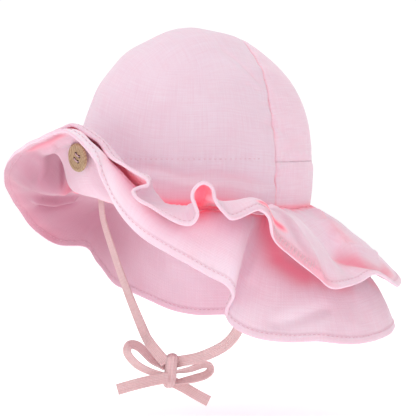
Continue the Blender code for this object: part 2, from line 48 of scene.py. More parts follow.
HALF_LONG = 0.088        # half length of the crown
CROWN_TALL = 0.130
CROWN_SWELL = 0.002      # how far the crown leans back half way up
OVER_SEAM = 0.028        # the seam over the crown lies this far behind the middle
BAND_TOP = 0.034         # top of the low back panel
CROWN_ROUND = 3.3        # power that keeps the crown's sides upright
CROWN_FALL = 0.6         # power that rounds its top
RIM_TUCK = 0.015         # share by which the rim is drawn in
RIM_TUCK_TO = 0.14       # share of the height over which it is
BRIM = 0.150             # unit of the flounces' reach
DROP = 0.100             # unit of their height
CLOTH = 0.0018           # thickness of the doubled cloth
GAP = 0.0004             # clearance between two pieces
TURN_BLEND = 0.2         # share of its way round that a fold has turned near either end
STEEP_RISE = 0.3         # rise at which the flap's seam lies lowest under the rim
STEEP_SINK = 0.7         # walls by which it then lies lower
TAPE_WIDE = 0.0080
TAPE_THICK = 0.0014
CHIN = 0.100             # unit of the ties' height
BOW = 0.025              # size unit of the bow
BUTTON_ACROSS = 0.0198
BUTTON_THICK = 0.0023
HOLE_ACROSS = 0.0020
HOLE_SPACING = 0.0041
THREAD_THICK = 0.0009
BUTTON_DISH = 0.0005     # depth of the hollow in the button's face
BUTTON_LEAN = 12         # degrees by which the button faces up
BUTTON_SPIN = 25         # degrees by which its holes are turned
SEAT_REACH = 0.7         # cloth within this share of its width from its middle holds it up

# sizes of the sewing
SEAM_SLIT = 0.00008      # what is left open between two panels
SEAM_DEEP = 0.0008       # how far a seam draws in
SEAM_SOFT = 0.0013       # how wide it does
HEM_FOLD = 0.0042        # the turned hem
STITCH_IN = 0.0036       # the stitch line's distance from the edge
STITCH_LONG = 0.0023
STITCH_SPACE = 0.0011
STITCH_THICK = 0.00042
CROWN_STITCH = 0.0362    # height of the stitch line round the crown
WEAVE = 0.00062          # pitch of the cotton's threads
TAPE_RIB = 0.00115       # pitch of the tape's ribs
STITCH_TURN = 101        # how far the crown's stitch line goes to either side
CROWN_SPACE = 0.0014     # its gap between two stitches
HEM_THICKER = 0.32       # the turned hem is thicker than the cloth by this share
EDGE_ANGLES = (60.0, 25.0, -25.0, -60.0)        # facets of a flounce's rounded edge
JOIN_FADE = 0.03         # where a flounce meets itself its unevenness fades over this length
A_DEGREE = 0.0019        # length of a degree of turn half way out on a flounce

# how the weave, the painted glow (a deeper, glowing pink for shade and bounced light) and the
# painted shade are laid out
MEAN_RADIUS = 0.080      # radius by which the weave goes round the crown
TOP_WEAVE = (0.080, 0.118)           # heights between which it goes over to the one from above
SEAM_PAINTED_GLOW = (0.45, 0.0035)          # painted glow along a flounce's seam, for the shade where it meets the crown: amount and width
HEM_PAINTED_SHADE = (0.16, 0.0004, 0.0006)    # painted shade just past the turned hem's inner edge: amount, place, width
HEM_MARK = (-0.7, 0.0009, 0.0002)    # a deeper line at its fold: tone, where it starts and is full
PANEL_PAINTED_GLOW = (0.24, 0.0006)         # painted glow along the crown's seams, for the shade in their grooves: amount and width
RUFFLE_SEAM_PAINTED_GLOW = (0.40, 0.0015, 0.0020)        # painted glow just over the ruffle's seam, for the shade there: amount, height, width
LOW_PAINTED_GLOW = (0.26, 0.002, 0.030)     # painted glow low on the crown, for shade and light bounced off the ruffle: amount, heights between which it fades
CREASE_PAINTED_GLOW = 45        # painted glow in the crown's creases, for the shade there: amount for a metre of depth

# how finely the cloth is divided
CROWN_TURNS, CROWN_LEVELS, CROWN_END = 384, 110, 0.998
STITCH_POINTS = 401
CURVE_POINTS, CURVE_DOWN = 121, 34
NEAR_HEM = np.concatenate((np.linspace(0.0080, 0.0048, 4), np.linspace(0.0044, 0.0, 12)))
TIE_STEPS, BOW_STEPS, TAPE_SIDES = 16, 14, 28
KNOT_LEVELS, KNOT_SIDES = 47, 60
BUTTON_SIDES, HOLE_SIDES = 96, 32
THREAD_STEPS, THREAD_SIDES = 6, 18
STITCH_STEPS, STITCH_SIDES = 5, 6

# unevenness of the crown: random seed, shortest and longest wave
SEAM_PUCKERS = (3, 0.006, 0.014)
BROAD_PUCKERS = (5, 0.014, 0.030)
BAND_PUCKERS = (8, 0.009, 0.02)
STITCH_PUCKERS = (12, 0.004, 0.008)
CROWN_WAVES = (21, 0.03, 0.08)

# the button's face from its rim to its middle: share of the radius, share of the hollow's depth
BUTTON_FACE = ((0.80, 0.0), (0.765, 0.15), (0.73, 0.75), (0.69, 1.0), (0.35, 1.0), (0.02, 1.0))
BUTTON_ROUND = 0.0011    # width of its rounded rim
# how a hole widens at the face: by how much and at what height
HOLE_LIP = ((0.0, -0.00035), (0.00012, -0.00012), (0.0005, 0.0003))
THREAD_CORNER, THREAD_SWELL = 0.0006, 0.0001     # the button's thread: its bends, its rise between
THREAD_PLY = 2200        # how fast its three plies turn, in radians to a metre
TAPE_SQUARE = 0.45       # power that squares the tape's section

# the zigzag over the ruffle's neatened edge
OVERLOCK_FROM, OVERLOCK_TO = 90, 103     # turns between which the neatened edge shows
OVERLOCK_IN = (0.0010, 0.0070)           # its thread runs between these distances from the edge
OVERLOCK_LONG, OVERLOCK_SPACE, OVERLOCK_THICK = 0.0052, 0.0002, 0.0005

# height of the crown's lower edge and of the ruffle's seam, shares of DROP
RIM_COLUMNS = ("turn", "edge", "seam")
RIM = (
    (-150, -0.02, 0.01),
    (-110, 0.00, 0.03),
    (-70, 0.06, 0.09),
    (-35, 0.12, 0.15),
    (0, 0.15, 0.18),
    (18, 0.09, 0.125),
    (32, 0.035, 0.07),
    (50, 0.005, 0.04),
    (80, 0.01, 0.04),
    (100, -0.02, 0.012),
    (115, -0.03, 0.00),
    (145, -0.03, 0.00),
    (180, -0.03, 0.00),
)

# flounces: turn at the seam and at the hem, reach of the hem (share of BRIM), height (of DROP)
FLOUNCE_COLUMNS = ("turn", "hem_turn", "reach", "hem")
FLAP = (
    (-62, -62, 0.835, -0.29),
    (-48, -52, 0.87, -0.17),
    (-36, -42, 0.89, 0.00),
    (-24, -27, 0.90, 0.18),
    (-12, -10, 0.91, 0.33),
    (-2, 2, 0.925, 0.42),
    (8, 12, 0.93, 0.49),
    (17, 19, 0.925, 0.54),
    (23, 24, 0.92, 0.555),
    (28, 29, 0.90, 0.46),
    (32, 32, 0.87, 0.355),
    (36, 33.5, 0.84, 0.22),
    (40, 36.3, 0.813, 0.07),
    (46, 40.5, 0.793, -0.06),
    (54, 46.5, 0.78, -0.17),
    (63, 55, 0.76, -0.27),
    (76, 67, 0.733, -0.405),
    (88, 74.5, 0.707, -0.48),
    (95, 77.5, 0.672, -0.56),
    (98, 76, 0.63, -0.645),
    (101, 76.5, 0.62, -0.72),
    (104, 80, 0.66, -0.79),
    (108, 88, 0.72, -0.85),
    (113, 97, 0.76, -0.87),
    (119, 106, 0.82, -0.87),
    (128, 116, 0.89, -0.90),
    (140, 130, 0.93, -0.89),
    (155, 148, 0.953, -0.85),
    (175, 172, 0.95, -0.82),
    (195, 197, 0.90, -0.84),
    (215, 218, 0.80, -0.85),
    (232, 232, 0.733, -0.85),
    (243, 242, 0.72, -0.85),
    (254, 252, 0.707, -0.81),
    (264, 262, 0.693, -0.73),
    (272, 272, 0.68, -0.65),
    (279, 279, 0.685, -0.59),
    (285, 284, 0.72, -0.45),
    (291, 287, 0.775, -0.32),
)
RUFFLE = (
    (-60, -60, 0.80, 0.02),
    (-40, -38, 0.81, 0.20),
    (-22, -20, 0.83, 0.34),
    (-6, -2, 0.853, 0.44),
    (6, 11, 0.873, 0.51),
    (14, 19, 0.873, 0.57),
    (20, 23, 0.86, 0.595),
    (25, 26.5, 0.83, 0.54),
    (30, 30, 0.79, 0.475),
    (34, 33.5, 0.795, 0.39),
    (38, 41, 0.85, 0.325),
    (41.5, 46, 0.885, 0.27),
    (44, 48.9, 0.897, 0.23),
    (45.5, 49.2, 0.907, 0.195),
    (47.4, 46.9, 0.93, 0.178),
    (49, 46, 0.95, 0.155),
    (50.7, 47.6, 0.968, 0.11),
    (53, 51.4, 0.98, 0.06),
    (55.5, 56, 0.995, -0.015),
    (57.5, 59.5, 1.00, -0.05),
    (59.7, 62, 1.00, -0.045),
    (61, 63.3, 0.99, 0.02),
    (62.1, 61.8, 0.985, 0.12),
    (63.1, 62.5, 0.98, 0.18),
    (64.7, 64.7, 0.98, 0.212),
    (66.4, 66.9, 0.98, 0.18),
    (67.4, 67.8, 0.985, 0.105),
    (69.3, 69.9, 0.99, 0.025),
    (72.5, 72.3, 0.99, -0.02),
    (79.5, 78.3, 0.945, 0.03),
    (83, 81, 0.915, 0.035),
    (87, 84.5, 0.87, -0.02),
    (91, 87, 0.86, -0.17),
    (96, 93, 0.87, -0.29),
    (102, 101, 0.885, -0.42),
    (108, 106, 0.91, -0.505),
    (116, 115, 0.94, -0.47),
    (125, 124, 0.96, -0.43),
    (136, 136, 0.985, -0.53),
    (150, 151, 0.98, -0.50),
    (168, 168, 0.95, -0.46),
    (190, 190, 0.93, -0.52),
    (212, 212, 0.88, -0.42),
    (234, 234, 0.83, -0.40),
    (256, 256, 0.80, -0.30),
    (278, 278, 0.79, -0.18),
)

# how a flounce leaves its seam (out, rise) and reaches its hem (back, lift)
BEND_COLUMNS = ("turn", "out", "rise", "back", "lift")
FLAP_BEND = (
    (-60, 0.10, 0.00, 0.04, 0.16),
    (-34, 0.12, 0.06, 0.10, -0.02),
    (-22, 0.14, 0.00, 0.08, -0.08),
    (-10, 0.22, -0.08, 0.12, -0.14),
    (-1, 0.12, 0.08, 0.33, 0.02),
    (6, 0.22, -0.02, 0.30, -0.04),
    (14, 0.27, 0.06, 0.31, 0.02),
    (22, 0.28, 0.16, 0.24, 0.04),
    (30, 0.21, 0.29, 0.05, 0.14),
    (38, 0.24, 0.32, 0.00, 0.26),
    (44, 0.22, 0.20, 0.00, 0.26),
    (50, 0.20, 0.00, 0.01, 0.20),
    (58, 0.17, -0.08, 0.02, 0.15),
    (68, 0.17, 0.00, 0.02, 0.20),
    (86, 0.16, 0.00, 0.00, 0.20),
    (99, 0.05, -0.02, 0.03, 0.30),
    (112, 0.08, -0.06, 0.06, 0.38),
    (128, 0.10, -0.16, 0.06, 0.36),
    (150, 0.10, -0.20, 0.05, 0.36),
    (200, 0.09, -0.16, 0.03, 0.34),
    (260, 0.12, 0.00, 0.02, 0.30),
)
RUFFLE_BEND = (
    (-60, 0.12, 0.06, 0.06, 0.04),
    (-20, 0.10, 0.14, 0.10, -0.02),
    (10, 0.08, 0.26, 0.16, 0.00),
    (22, 0.06, 0.34, 0.14, 0.00),
    (32, 0.09, 0.34, 0.05, 0.02),
    (39, 0.15, 0.23, 0.08, -0.02),
    (45, 0.19, 0.18, 0.12, 0.05),
    (50, 0.20, 0.05, 0.12, -0.07),
    (56, 0.22, -0.01, 0.10, 0.04),
    (61, 0.22, 0.06, 0.12, 0.03),
    (64.7, 0.22, 0.12, 0.12, 0.02),
    (72, 0.22, 0.06, 0.10, 0.10),
    (83, 0.24, 0.06, 0.04, 0.10),
    (92, 0.28, 0.06, 0.00, 0.15),
    (102, 0.28, 0.02, 0.00, 0.20),
    (110, 0.20, 0.00, 0.06, 0.20),
    (118, 0.10, -0.03, 0.18, 0.05),
    (132, 0.14, -0.06, 0.10, 0.16),
    (190, 0.12, -0.08, 0.10, 0.12),
    (260, 0.16, 0.04, 0.06, 0.12),
)

# ties: side and fore (shares of HALF_WIDE), height (of CHIN), turn of the flat face. The tapes
# of the ties and the loops are twisted here by up to 22 degrees more than the plain solids are
TIE_FAR = (
    (-0.84, 0.62, 0.06, 4),
    (-0.82, 0.60, -0.10, 4),
    (-0.74, 0.52, -0.35, 8),
    (-0.60, 0.44, -0.62, 16),
    (-0.37, 0.38, -0.89, 34),
    (-0.20, 0.385, -0.98, 46),
    (-0.11, 0.298, -1.085, 60),
)
TIE_NEAR = (
    (0.86, 0.28, 0.02, 60),
    (0.90, 0.16, -0.25, 60),
    (0.86, -0.02, -0.58, 48),
    (0.68, -0.14, -0.80, 40),
    (0.46, -0.12, -0.955, 46),
    (0.20, 0.02, -1.06, 58),
    (-0.0535, 0.1285, -1.106, 62),
)

# the bow: across, up and near (shares of BOW from the knot), lay of the tape
KNOT_SIDE, KNOT_FORE, KNOT_UP = -0.10, 0.21, -1.17
KNOT_WIDE, KNOT_DEEP, KNOT_TOP, KNOT_LOW = 0.19, 0.20, 0.49, -0.52
KNOT_LEAN, KNOT_SQUARE, KNOT_END = 0.05, 0.6, 6
BOW_TURN = 62
LOOP_FAR = (
    (-0.265, 0.13, -0.02, 30),
    (-0.55, 0.30, -0.16, 42),
    (-0.93, 0.66, -0.22, 48),
    (-1.20, 0.70, -0.16, 48),
    (-1.24, 0.46, -0.08, 48),
    (-0.96, 0.15, 0.00, 48),
    (-0.59, -0.04, 0.00, 42),
    (-0.265, -0.12, 0.00, 30),
)
LOOP_NEAR = (
    (0.215, -0.04, 0.00, 20),
    (0.56, 0.02, 0.00, 34),
    (0.92, 0.15, 0.02, 40),
    (1.10, 0.14, 0.04, 40),
    (1.15, 0.00, 0.05, 40),
    (1.00, -0.14, 0.05, 40),
    (0.68, -0.24, 0.03, 40),
    (0.215, -0.34, 0.00, 20),
)
TAIL_FAR = (
    (-0.235, -0.22, 0.22, 80),
    (-0.64, -0.30, 0.22, 84),
    (-1.10, -0.42, 0.18, 84),
    (-1.53, -0.55, 0.12, 84),
)
TAIL_NEAR = (
    (0.04, -0.36, -0.245, 84),
    (0.40, -0.54, -0.24, 84),
    (0.75, -0.73, -0.12, 84),
    (1.10, -0.91, -0.06, 84),
)

# the button's place on the flap: row of its table and share of the way to the hem, and how far to
# either side of that the cloth under it is read
BUTTON_ROW, BUTTON_ROWS = 7.5, 0.7
BUTTON_SHARE, BUTTON_SPAN = 0.52, 0.16

# soft creases of the crown: where they start and end (turn, height), width and depth in mm,
# in the columns turn0, high0, turn1, high1, wide, deep
CREASES = (
    (30, 0.030, 62, 0.0250, 3.4, 1.3),
    (62, 0.0250, 104, 0.0200, 3.6, 1.5),
    (104, 0.060, 122, 0.0560, 2.6, 0.7),
    (118, 0.0420, 150, 0.0450, 2.6, 0.9),
    (126, 0.0480, 152, 0.0500, 2.4, 0.6),
    (96, 0.0990, 112, 0.0900, 3.0, 0.7),
    (94, 0.0880, 108, 0.0850, 2.6, 0.5),
    (88, 0.1130, 108, 0.0960, 4.0, 0.8),
    (106, 0.0740, 118, 0.0700, 2.4, 0.5),
)

# soft folds of the two flounces: from one place to another (turn at the seam, share of the way to
# the hem), width and height in mm; height is above nought towards the under face
LINE_COLUMNS = ("turn0", "share0", "turn1", "share1", "wide")
FOLD_COLUMNS = LINE_COLUMNS + ("high",)
FLAP_FOLDS = (
    (15, 0.72, 8, 0.78, 3.5, 2.4),
    (8, 0.78, -3, 0.71, 3.8, 4.0),
    (-3, 0.71, -7, 0.55, 3.8, 5.0),
    (-7, 0.55, -6, 0.20, 3.8, 4.6),
    (2, 0.60, 0, 0.30, 4.0, -3.0),
    (-33, 0.63, -41, 0.47, 4.0, 4.4),
    (-41, 0.47, -45, 0.28, 4.0, 4.4),
    (-40, 0.70, -50.6, 0.38, 4.0, -3.2),
    (111, 0.88, 122, 0.77, 4.0, 2.4),
    (107, 0.08, 105.5, 0.33, 3.0, -1.4),
    (105.5, 0.33, 104.5, 0.58, 3.0, -1.4),
)
RUFFLE_FOLDS = (
    (138.4, 0.10, 129, 0.30, 3.2, -3.6),
    (129, 0.30, 126.3, 0.47, 3.6, -5.0),
    (126.3, 0.47, 124, 0.60, 3.6, -5.4),
    (124, 0.60, 127, 0.64, 3.6, -5.0),
    (127, 0.64, 140, 0.68, 3.8, -4.6),
    (144, 0.14, 135, 0.30, 4.0, 3.0),
    (135, 0.30, 130.5, 0.48, 4.0, 4.0),
    (119, 0.62, 122, 0.74, 4.5, 3.6),
    (122, 0.74, 126, 0.86, 4.5, 4.2),
    (126, 0.86, 136, 0.86, 4.5, 3.6),
    (94.7, 0.36, 95.7, 0.62, 3.0, -2.8),
    (95.7, 0.62, 102, 0.955, 3.0, -3.0),
)

# painted glow: a deeper, glowing pink for the shade in hollows and for light passed through and
# bounced between the folds: the same places, width in mm, and how much of it on the upper and on
# the under face; then painted shade, a darker duller pink, in the same columns
TINT_COLUMNS = LINE_COLUMNS + ("upper", "under")
FLAP_PAINTED_GLOW = (
    (61, 0.05, 68, 0.05, 8, 0.90, 0.00),
    (68, 0.06, 90, 0.05, 6, 0.55, 0.00),
    (49, 0.26, 60, 0.10, 5, 0.60, 0.00),
    (30, 0.62, 46, 0.42, 7, 0.25, 0.00),
    (16, 0.86, 32, 0.78, 6, 0.30, 0.00),
    (105, 0.04, 111, 0.40, 8, 0.42, 0.00),
    (111, 0.40, 118, 0.53, 8, 0.38, 0.00),
    (118, 0.53, 132, 0.58, 7, 0.30, 0.00),
    (150, 0.62, 158, 0.72, 5, 0.20, 0.00),
    (-18, 0.90, -60, 0.93, 6, 0.00, 0.07),
    (0, 0.88, 16, 0.88, 4, 0.00, 0.30),
    (-6, 0.16, 5, 0.10, 5, 0.00, 0.20),
)
FLAP_PAINTED_SHADE = (
    (105, 0.04, 111, 0.40, 9, 0.55, 0.00),
    (111, 0.40, 118, 0.53, 9, 0.70, 0.00),
    (118, 0.53, 132, 0.58, 8, 0.60, 0.00),
    (-66, 0.50, -14, 0.50, 50, 0.00, 0.95),
    (-10, 0.90, -60, 0.95, 12, 0.00, 0.80),
    (-2, 0.44, -4.5, 0.26, 4, 0.00, 1.00),
    (-8, 0.14, 5, 0.08, 5, 0.00, 0.95),
    (-40, 0.72, -51, 0.40, 5, 0.00, 1.00),
    (0, 0.90, 16, 0.90, 4, 0.00, 0.80),
    (30, 0.35, 75, 0.35, 30, 0.00, 0.30),
)
RUFFLE_PAINTED_GLOW = (
    (62, 0.25, 67, 0.25, 9, 0.00, 0.90),
    (64.7, 0.10, 64.7, 0.80, 7, 0.00, 0.90),
    (14, 0.90, 48, 0.85, 9, 0.00, 0.25),
    (34, 0.50, 49, 0.50, 12, 0.00, 0.40),
    (50, 0.01, 61, 0.01, 1.6, 0.90, 0.00),
    (84, 0.88, 88, 0.84, 2.6, 0.95, 0.00),
    (88, 0.84, 92.8, 0.80, 2.4, 0.95, 0.00),
    (142, 0.12, 132, 0.30, 5, 0.34, 0.00),
    (132, 0.30, 128.3, 0.47, 5, 0.34, 0.00),
    (128.3, 0.47, 126, 0.58, 4, 0.26, 0.00),
    (138, 0.24, 132, 0.50, 10, 0.18, 0.00),
    (120.5, 0.70, 123.8, 0.76, 6, 0.34, 0.00),
    (123.8, 0.76, 126, 0.86, 6, 0.34, 0.00),
    (126, 0.86, 140, 0.86, 7, 0.28, 0.00),
    (88, 0.97, 104, 0.99, 7, 0.22, 0.00),
)
RUFFLE_PAINTED_SHADE = (
    (120.5, 0.70, 123.8, 0.76, 5, 0.45, 0.00),
    (123.8, 0.76, 126, 0.86, 5, 0.45, 0.00),
    (126, 0.86, 140, 0.86, 6, 0.35, 0.00),
    (142, 0.12, 132, 0.30, 4, 0.40, 0.00),
    (132, 0.30, 128.3, 0.47, 4.5, 0.40, 0.00),
    (93, 0.50, 97, 0.82, 3, 0.35, 0.00),
    (97, 0.82, 102, 0.97, 3, 0.35, 0.00),
    (88, 0.97, 104, 0.99, 7, 0.30, 0.00),
)
# painted light: where the cloth is painted paler, for light falling on it and to lift hollows that
# the shade makes too dark
FLAP_PAINTED_LIGHT = (
    (6, 0.90, 40, 0.90, 16, 0.70, 0.00),
    (16, 0.70, 46, 0.45, 14, 0.60, 0.00),
    (40, 0.90, 88, 0.90, 16, 0.60, 0.00),
    (62, 0.55, 88, 0.60, 16, 0.45, 0.00),
    (104, 0.90, 118, 0.86, 14, 0.35, 0.00),
    (-2, 0.30, 15, 0.55, 12, 0.00, 0.40),
    (70, 0.85, 78, 0.60, 14, 0.00, 0.20),
    (-14, 0.78, -26, 0.66, 7, 0.00, 0.45),
    (-80, 0.75, -115, 0.75, 24, 0.00, 0.45),
)
RUFFLE_PAINTED_LIGHT = (
    (112, 0.40, 118, 0.60, 9, 0.35, 0.00),
    (24, 0.50, 60, 0.50, 14, 0.15, 0.00),
    (14, 0.75, 49, 0.70, 16, 0.00, 0.60),
)


# shared sums
def column(rows, names, name):
    """One named column of a table as numbers."""
    return np.array([row[names.index(name)] for row in rows], float)


def round_table(rows, names, name, turn):
    """A column read at any turn by cubic pieces that meet smoothly, once round the hat."""
    x = column(rows, names, "turn")
    y = column(rows, names, name)
    n = len(x)
    x = np.concatenate((x - 360.0, x, x + 360.0))
    y = np.tile(y, 3)
    t = np.mod(np.asarray(turn, float) - x[n], 360.0) + x[n]
    k = np.clip(np.searchsorted(x, t, side="right") - 1, 1, 3 * n - 3)
    s = (t - x[k]) / (x[k + 1] - x[k])
    left = (y[k + 1] - y[k - 1]) / (x[k + 1] - x[k - 1]) * (x[k + 1] - x[k])
    right = (y[k + 2] - y[k]) / (x[k + 2] - x[k]) * (x[k + 1] - x[k])
    return ((2 * s**3 - 3 * s**2 + 1) * y[k] + (s**3 - 2 * s**2 + s) * left
            + (3 * s**2 - 2 * s**3) * y[k + 1] + (s**3 - s**2) * right)


def through(values, steps, closed, wrap=0.0):
    """Catmull-Rom curve through values, with a number of steps in each span."""
    v = np.asarray(values, float)
    if closed:
        before, after, spans = v[-1:] - wrap, v[:2] + wrap, len(v)
    else:
        before, after, spans = 2 * v[:1] - v[1:2], 2 * v[-1:] - v[-2:-1], len(v) - 1
    q = np.concatenate((before, v, after))
    u = np.arange(spans * steps + (0 if closed else 1)) / steps
    k = np.minimum(u.astype(int), spans - 1)
    s = (u - k)[:, None]
    a, b, c, d = q[k], q[k + 1], q[k + 2], q[k + 3]
    return 0.5 * (2 * b + (c - a) * s + (2 * a - 5 * b + 4 * c - d) * s**2
                  + (3 * b - a - 3 * c + d) * s**3)


def at(turn, reach, up):
    """A point at a turn round the crown's axis."""
    t = np.radians(turn)
    return np.stack((reach * np.sin(t), -reach * np.cos(t), up + 0 * t), -1)


def unit(v):
    return v / np.maximum(np.linalg.norm(v, axis=-1, keepdims=True), 1e-12)


def hill(x, width):
    """A smooth hill of height 1 at 0: e to the minus (x over width) squared."""
    return np.exp(-(x / width) ** 2)


def step(x, low, high):
    """0 below low, 1 above high, 3s^2 - 2s^3 between."""
    s = np.clip((x - low) / (high - low), 0, 1)
    return s * s * (3 - 2 * s)


def run_of(line):
    """The length from a line's start to each of its points."""
    return np.concatenate(([0.0], np.cumsum(np.linalg.norm(np.diff(line, axis=0), axis=1))))


def read_at(values, run, where):
    """A line's values read at given lengths along it."""
    return np.stack([np.interp(where, run, c) for c in values.T], -1)


def round_angles(sides):
    return np.linspace(0, 2 * np.pi, sides + 1)[:-1]


def squared(x, power):
    """A sine or cosine drawn towards 1 and -1 by a power below 1."""
    return np.sign(x) * np.abs(x) ** power


def waves(x, y, seed, low, high, count=9):
    """Smooth unevenness from -1 to 1: sines with wavelengths from low to high metres."""
    draw = np.random.default_rng(seed)
    total = 0.0
    for _ in range(count):
        angle, phase = draw.uniform(0, 2 * np.pi, 2)
        k = 2 * np.pi / draw.uniform(low, high)
        total = total + np.sin(k * (x * math.cos(angle) + y * math.sin(angle)) + phase)
    return total / count ** 0.5 / 1.4


def grid_normals(p, closed_round):
    """Unit normals of a grid: the cross product of its two directions."""
    if closed_round:
        du = np.roll(p, -1, 0) - np.roll(p, 1, 0)
    else:
        du = np.gradient(p, axis=0)
    return unit(np.cross(du, np.gradient(p, axis=1)))


# meshes
def linked(name, data):
    """A new object in the scene."""
    obj = bpy.data.objects.new(name, data)
    bpy.context.scene.collection.objects.link(obj)
    return obj


def grid_mesh(name, points, uv, closed_rows, closed_cols, stuff, extra_uv=None):
    """A mesh of quads over a grid of points. uv has one more row or column where it closes."""
    rows, cols = points.shape[:2]
    i = np.arange(rows if closed_rows else rows - 1)[:, None]
    k = np.arange(cols if closed_cols else cols - 1)[None, :]
    corners = ((i, k), (i + 1, k), (i + 1, k + 1), (i, k + 1))
    quads = np.stack([(a % rows) * cols + b % cols for a, b in corners], -1).reshape(-1, 4)
    mesh = bpy.data.meshes.new(name)
    mesh.vertices.add(rows * cols)
    mesh.vertices.foreach_set("co", points.reshape(-1).astype(np.float32))
    mesh.loops.add(quads.size)
    mesh.loops.foreach_set("vertex_index", quads.reshape(-1).astype(np.int32))
    mesh.polygons.add(len(quads))
    mesh.polygons.foreach_set("loop_start", np.arange(len(quads), dtype=np.int32) * 4)
    mesh.polygons.foreach_set("use_smooth", np.ones(len(quads), bool))
    mesh.update(calc_edges=True)
    for label, values in (("cloth", uv), ("top", extra_uv)):
        if values is not None:
            layer = mesh.uv_layers.new(name=label)
            spread = np.stack([values[a, b] for a, b in corners], -2)
            layer.data.foreach_set("uv", spread.reshape(-1).astype(np.float32))
    mesh.materials.append(stuff)
    return linked(name, mesh)


def fill_ends(obj):
    """Close the open ends of a tube with a face each."""
    bm = bmesh.new()
    bm.from_mesh(obj.data)
    bmesh.ops.holes_fill(bm, edges=[e for e in bm.edges if e.is_boundary])
    bmesh.ops.recalc_face_normals(bm, faces=bm.faces)
    bm.to_mesh(obj.data)
    bm.free()
    return obj


def placed(obj, slot, *nodes):
    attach(obj, "root")
    if nodes:
        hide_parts(*nodes)
    return obj


# materials
def new_group(name, inputs, outputs):
    """An empty node group with named inputs and outputs."""
    tree = bpy.data.node_groups.new(name, "ShaderNodeTree")
    for label, kind, value in inputs:
        socket = tree.interface.new_socket(label, in_out="INPUT", socket_type=kind)
        if value is not None:
            socket.default_value = value
    for label, kind in outputs:
        tree.interface.new_socket(label, in_out="OUTPUT", socket_type=kind)
    return tree, tree.nodes.new("NodeGroupInput"), tree.nodes.new("NodeGroupOutput")


def set_inputs(node, values):
    for name, value in values.items():
        node.inputs[name].default_value = value


def sum_node(tree, kind, a, b=None, c=None):
    """A Math node; each operand is a number or a socket."""
    node = tree.nodes.new("ShaderNodeMath")
    node.operation = kind
    for socket, value in zip(node.inputs, (a, b, c)):
        if value is None:
            continue
        if isinstance(value, (int, float)):
            socket.default_value = value
        else:
            tree.links.new(value, socket)
    return node.outputs[0]


def noise_node(tree, vector, scale, detail=2.0, rough=0.5):
    node = tree.nodes.new("ShaderNodeTexNoise")
    set_inputs(node, {"Scale": scale, "Detail": detail, "Roughness": rough})
    tree.links.new(vector, node.inputs["Vector"])
    return node.outputs["Fac"]


def vector_node(tree, kind, vector, other):
    """A Vector Math node between a socket and a fixed vector."""
    node = tree.nodes.new("ShaderNodeVectorMath")
    node.operation = kind
    node.inputs[1].default_value = tuple(other)
    tree.links.new(vector, node.inputs[0])
    return node


def scaled(tree, vector, x, y, z=1.0):
    return vector_node(tree, "MULTIPLY", vector, (x, y, z)).outputs[0]


def ramp(tree, value, low, high):
    """A value taken from low..high to 0..1."""
    node = tree.nodes.new("ShaderNodeMapRange")
    node.interpolation_type = "SMOOTHSTEP"
    set_inputs(node, {"From Min": low, "From Max": high})
    tree.links.new(value, node.inputs["Value"])
    return node.outputs["Result"]


def blend_colour(tree, share, a, b):
    node = tree.nodes.new("ShaderNodeMix")
    node.data_type = "RGBA"
    for socket, value in ((node.inputs[0], share), (node.inputs[6], a), (node.inputs[7], b)):
        if isinstance(value, (tuple, float, int)):
            socket.default_value = value
        else:
            tree.links.new(value, socket)
    return node.outputs[2]


def weave_group():
    """Plain weave: threads go over and under in turn, and some are thicker than others."""
    tree, inp, out = new_group("plain_weave", (
        ("Vector", "NodeSocketVector", None), ("Pitch", "NodeSocketFloat", WEAVE)), (
        ("Height", "NodeSocketFloat"), ("Tone", "NodeSocketFloat")))
    split = tree.nodes.new("ShaderNodeSeparateXYZ")
    tree.links.new(inp.outputs["Vector"], split.inputs[0])
    turns = sum_node(tree, "DIVIDE", math.pi, inp.outputs["Pitch"])
    a = sum_node(tree, "SINE", sum_node(tree, "MULTIPLY", split.outputs[0], turns))
    b = sum_node(tree, "SINE", sum_node(tree, "MULTIPLY", split.outputs[1], turns))
    cross = sum_node(tree, "MULTIPLY", a, b)
    warp, weft = (noise_node(tree, scaled(tree, inp.outputs["Vector"], *way), 1.0, 2.0, 0.6)
                  for way in (SLUBS, SLUBS[::-1]))
    slub = sum_node(tree, "ADD", warp, weft)
    tone = sum_node(tree, "MULTIPLY_ADD", sum_node(tree, "SUBTRACT", slub, 1.0), 1.3, 0.5)
    tone = sum_node(tree, "MULTIPLY_ADD", cross, 0.10, tone)
    high = sum_node(tree, "MULTIPLY_ADD", cross, 0.5, sum_node(tree, "MULTIPLY", slub, 0.9))
    tree.links.new(high, out.inputs["Height"])
    tree.links.new(tone, out.inputs["Tone"])
    return tree


def unevenness_group():
    """Large soft differences of shade, as in washed cloth."""
    tree, inp, out = new_group("washed_shade", (("Scale", "NodeSocketFloat", 30.0),), (
        ("Shade", "NodeSocketFloat"),))
    place = tree.nodes.new("ShaderNodeTexCoord")
    node = tree.nodes.new("ShaderNodeTexNoise")
    node.inputs["Detail"].default_value = 3.0
    tree.links.new(place.outputs["Object"], node.inputs["Vector"])
    tree.links.new(inp.outputs["Scale"], node.inputs["Scale"])
    tree.links.new(ramp(tree, node.outputs["Fac"], 0.3, 0.7), out.inputs["Shade"])
    return tree


def group_node(tree, group, **values):
    node = tree.nodes.new("ShaderNodeGroup")
    node.node_tree = group
    for name, value in values.items():
        if isinstance(value, (int, float)):
            node.inputs[name].default_value = value
        else:
            tree.links.new(value, node.inputs[name])
    return node


def new_material(name, colour, rough, sheen=0.0):
    m = bpy.data.materials.new(name)
    m.use_nodes = True
    shader = m.node_tree.nodes["Principled BSDF"]
    set_inputs(shader, {"Base Color": colour, "Roughness": rough, "Sheen Weight": sheen,
                        "Sheen Roughness": 0.5, "Specular IOR Level": 0.25})
    m.diffuse_color = colour
    return m, m.node_tree, shader


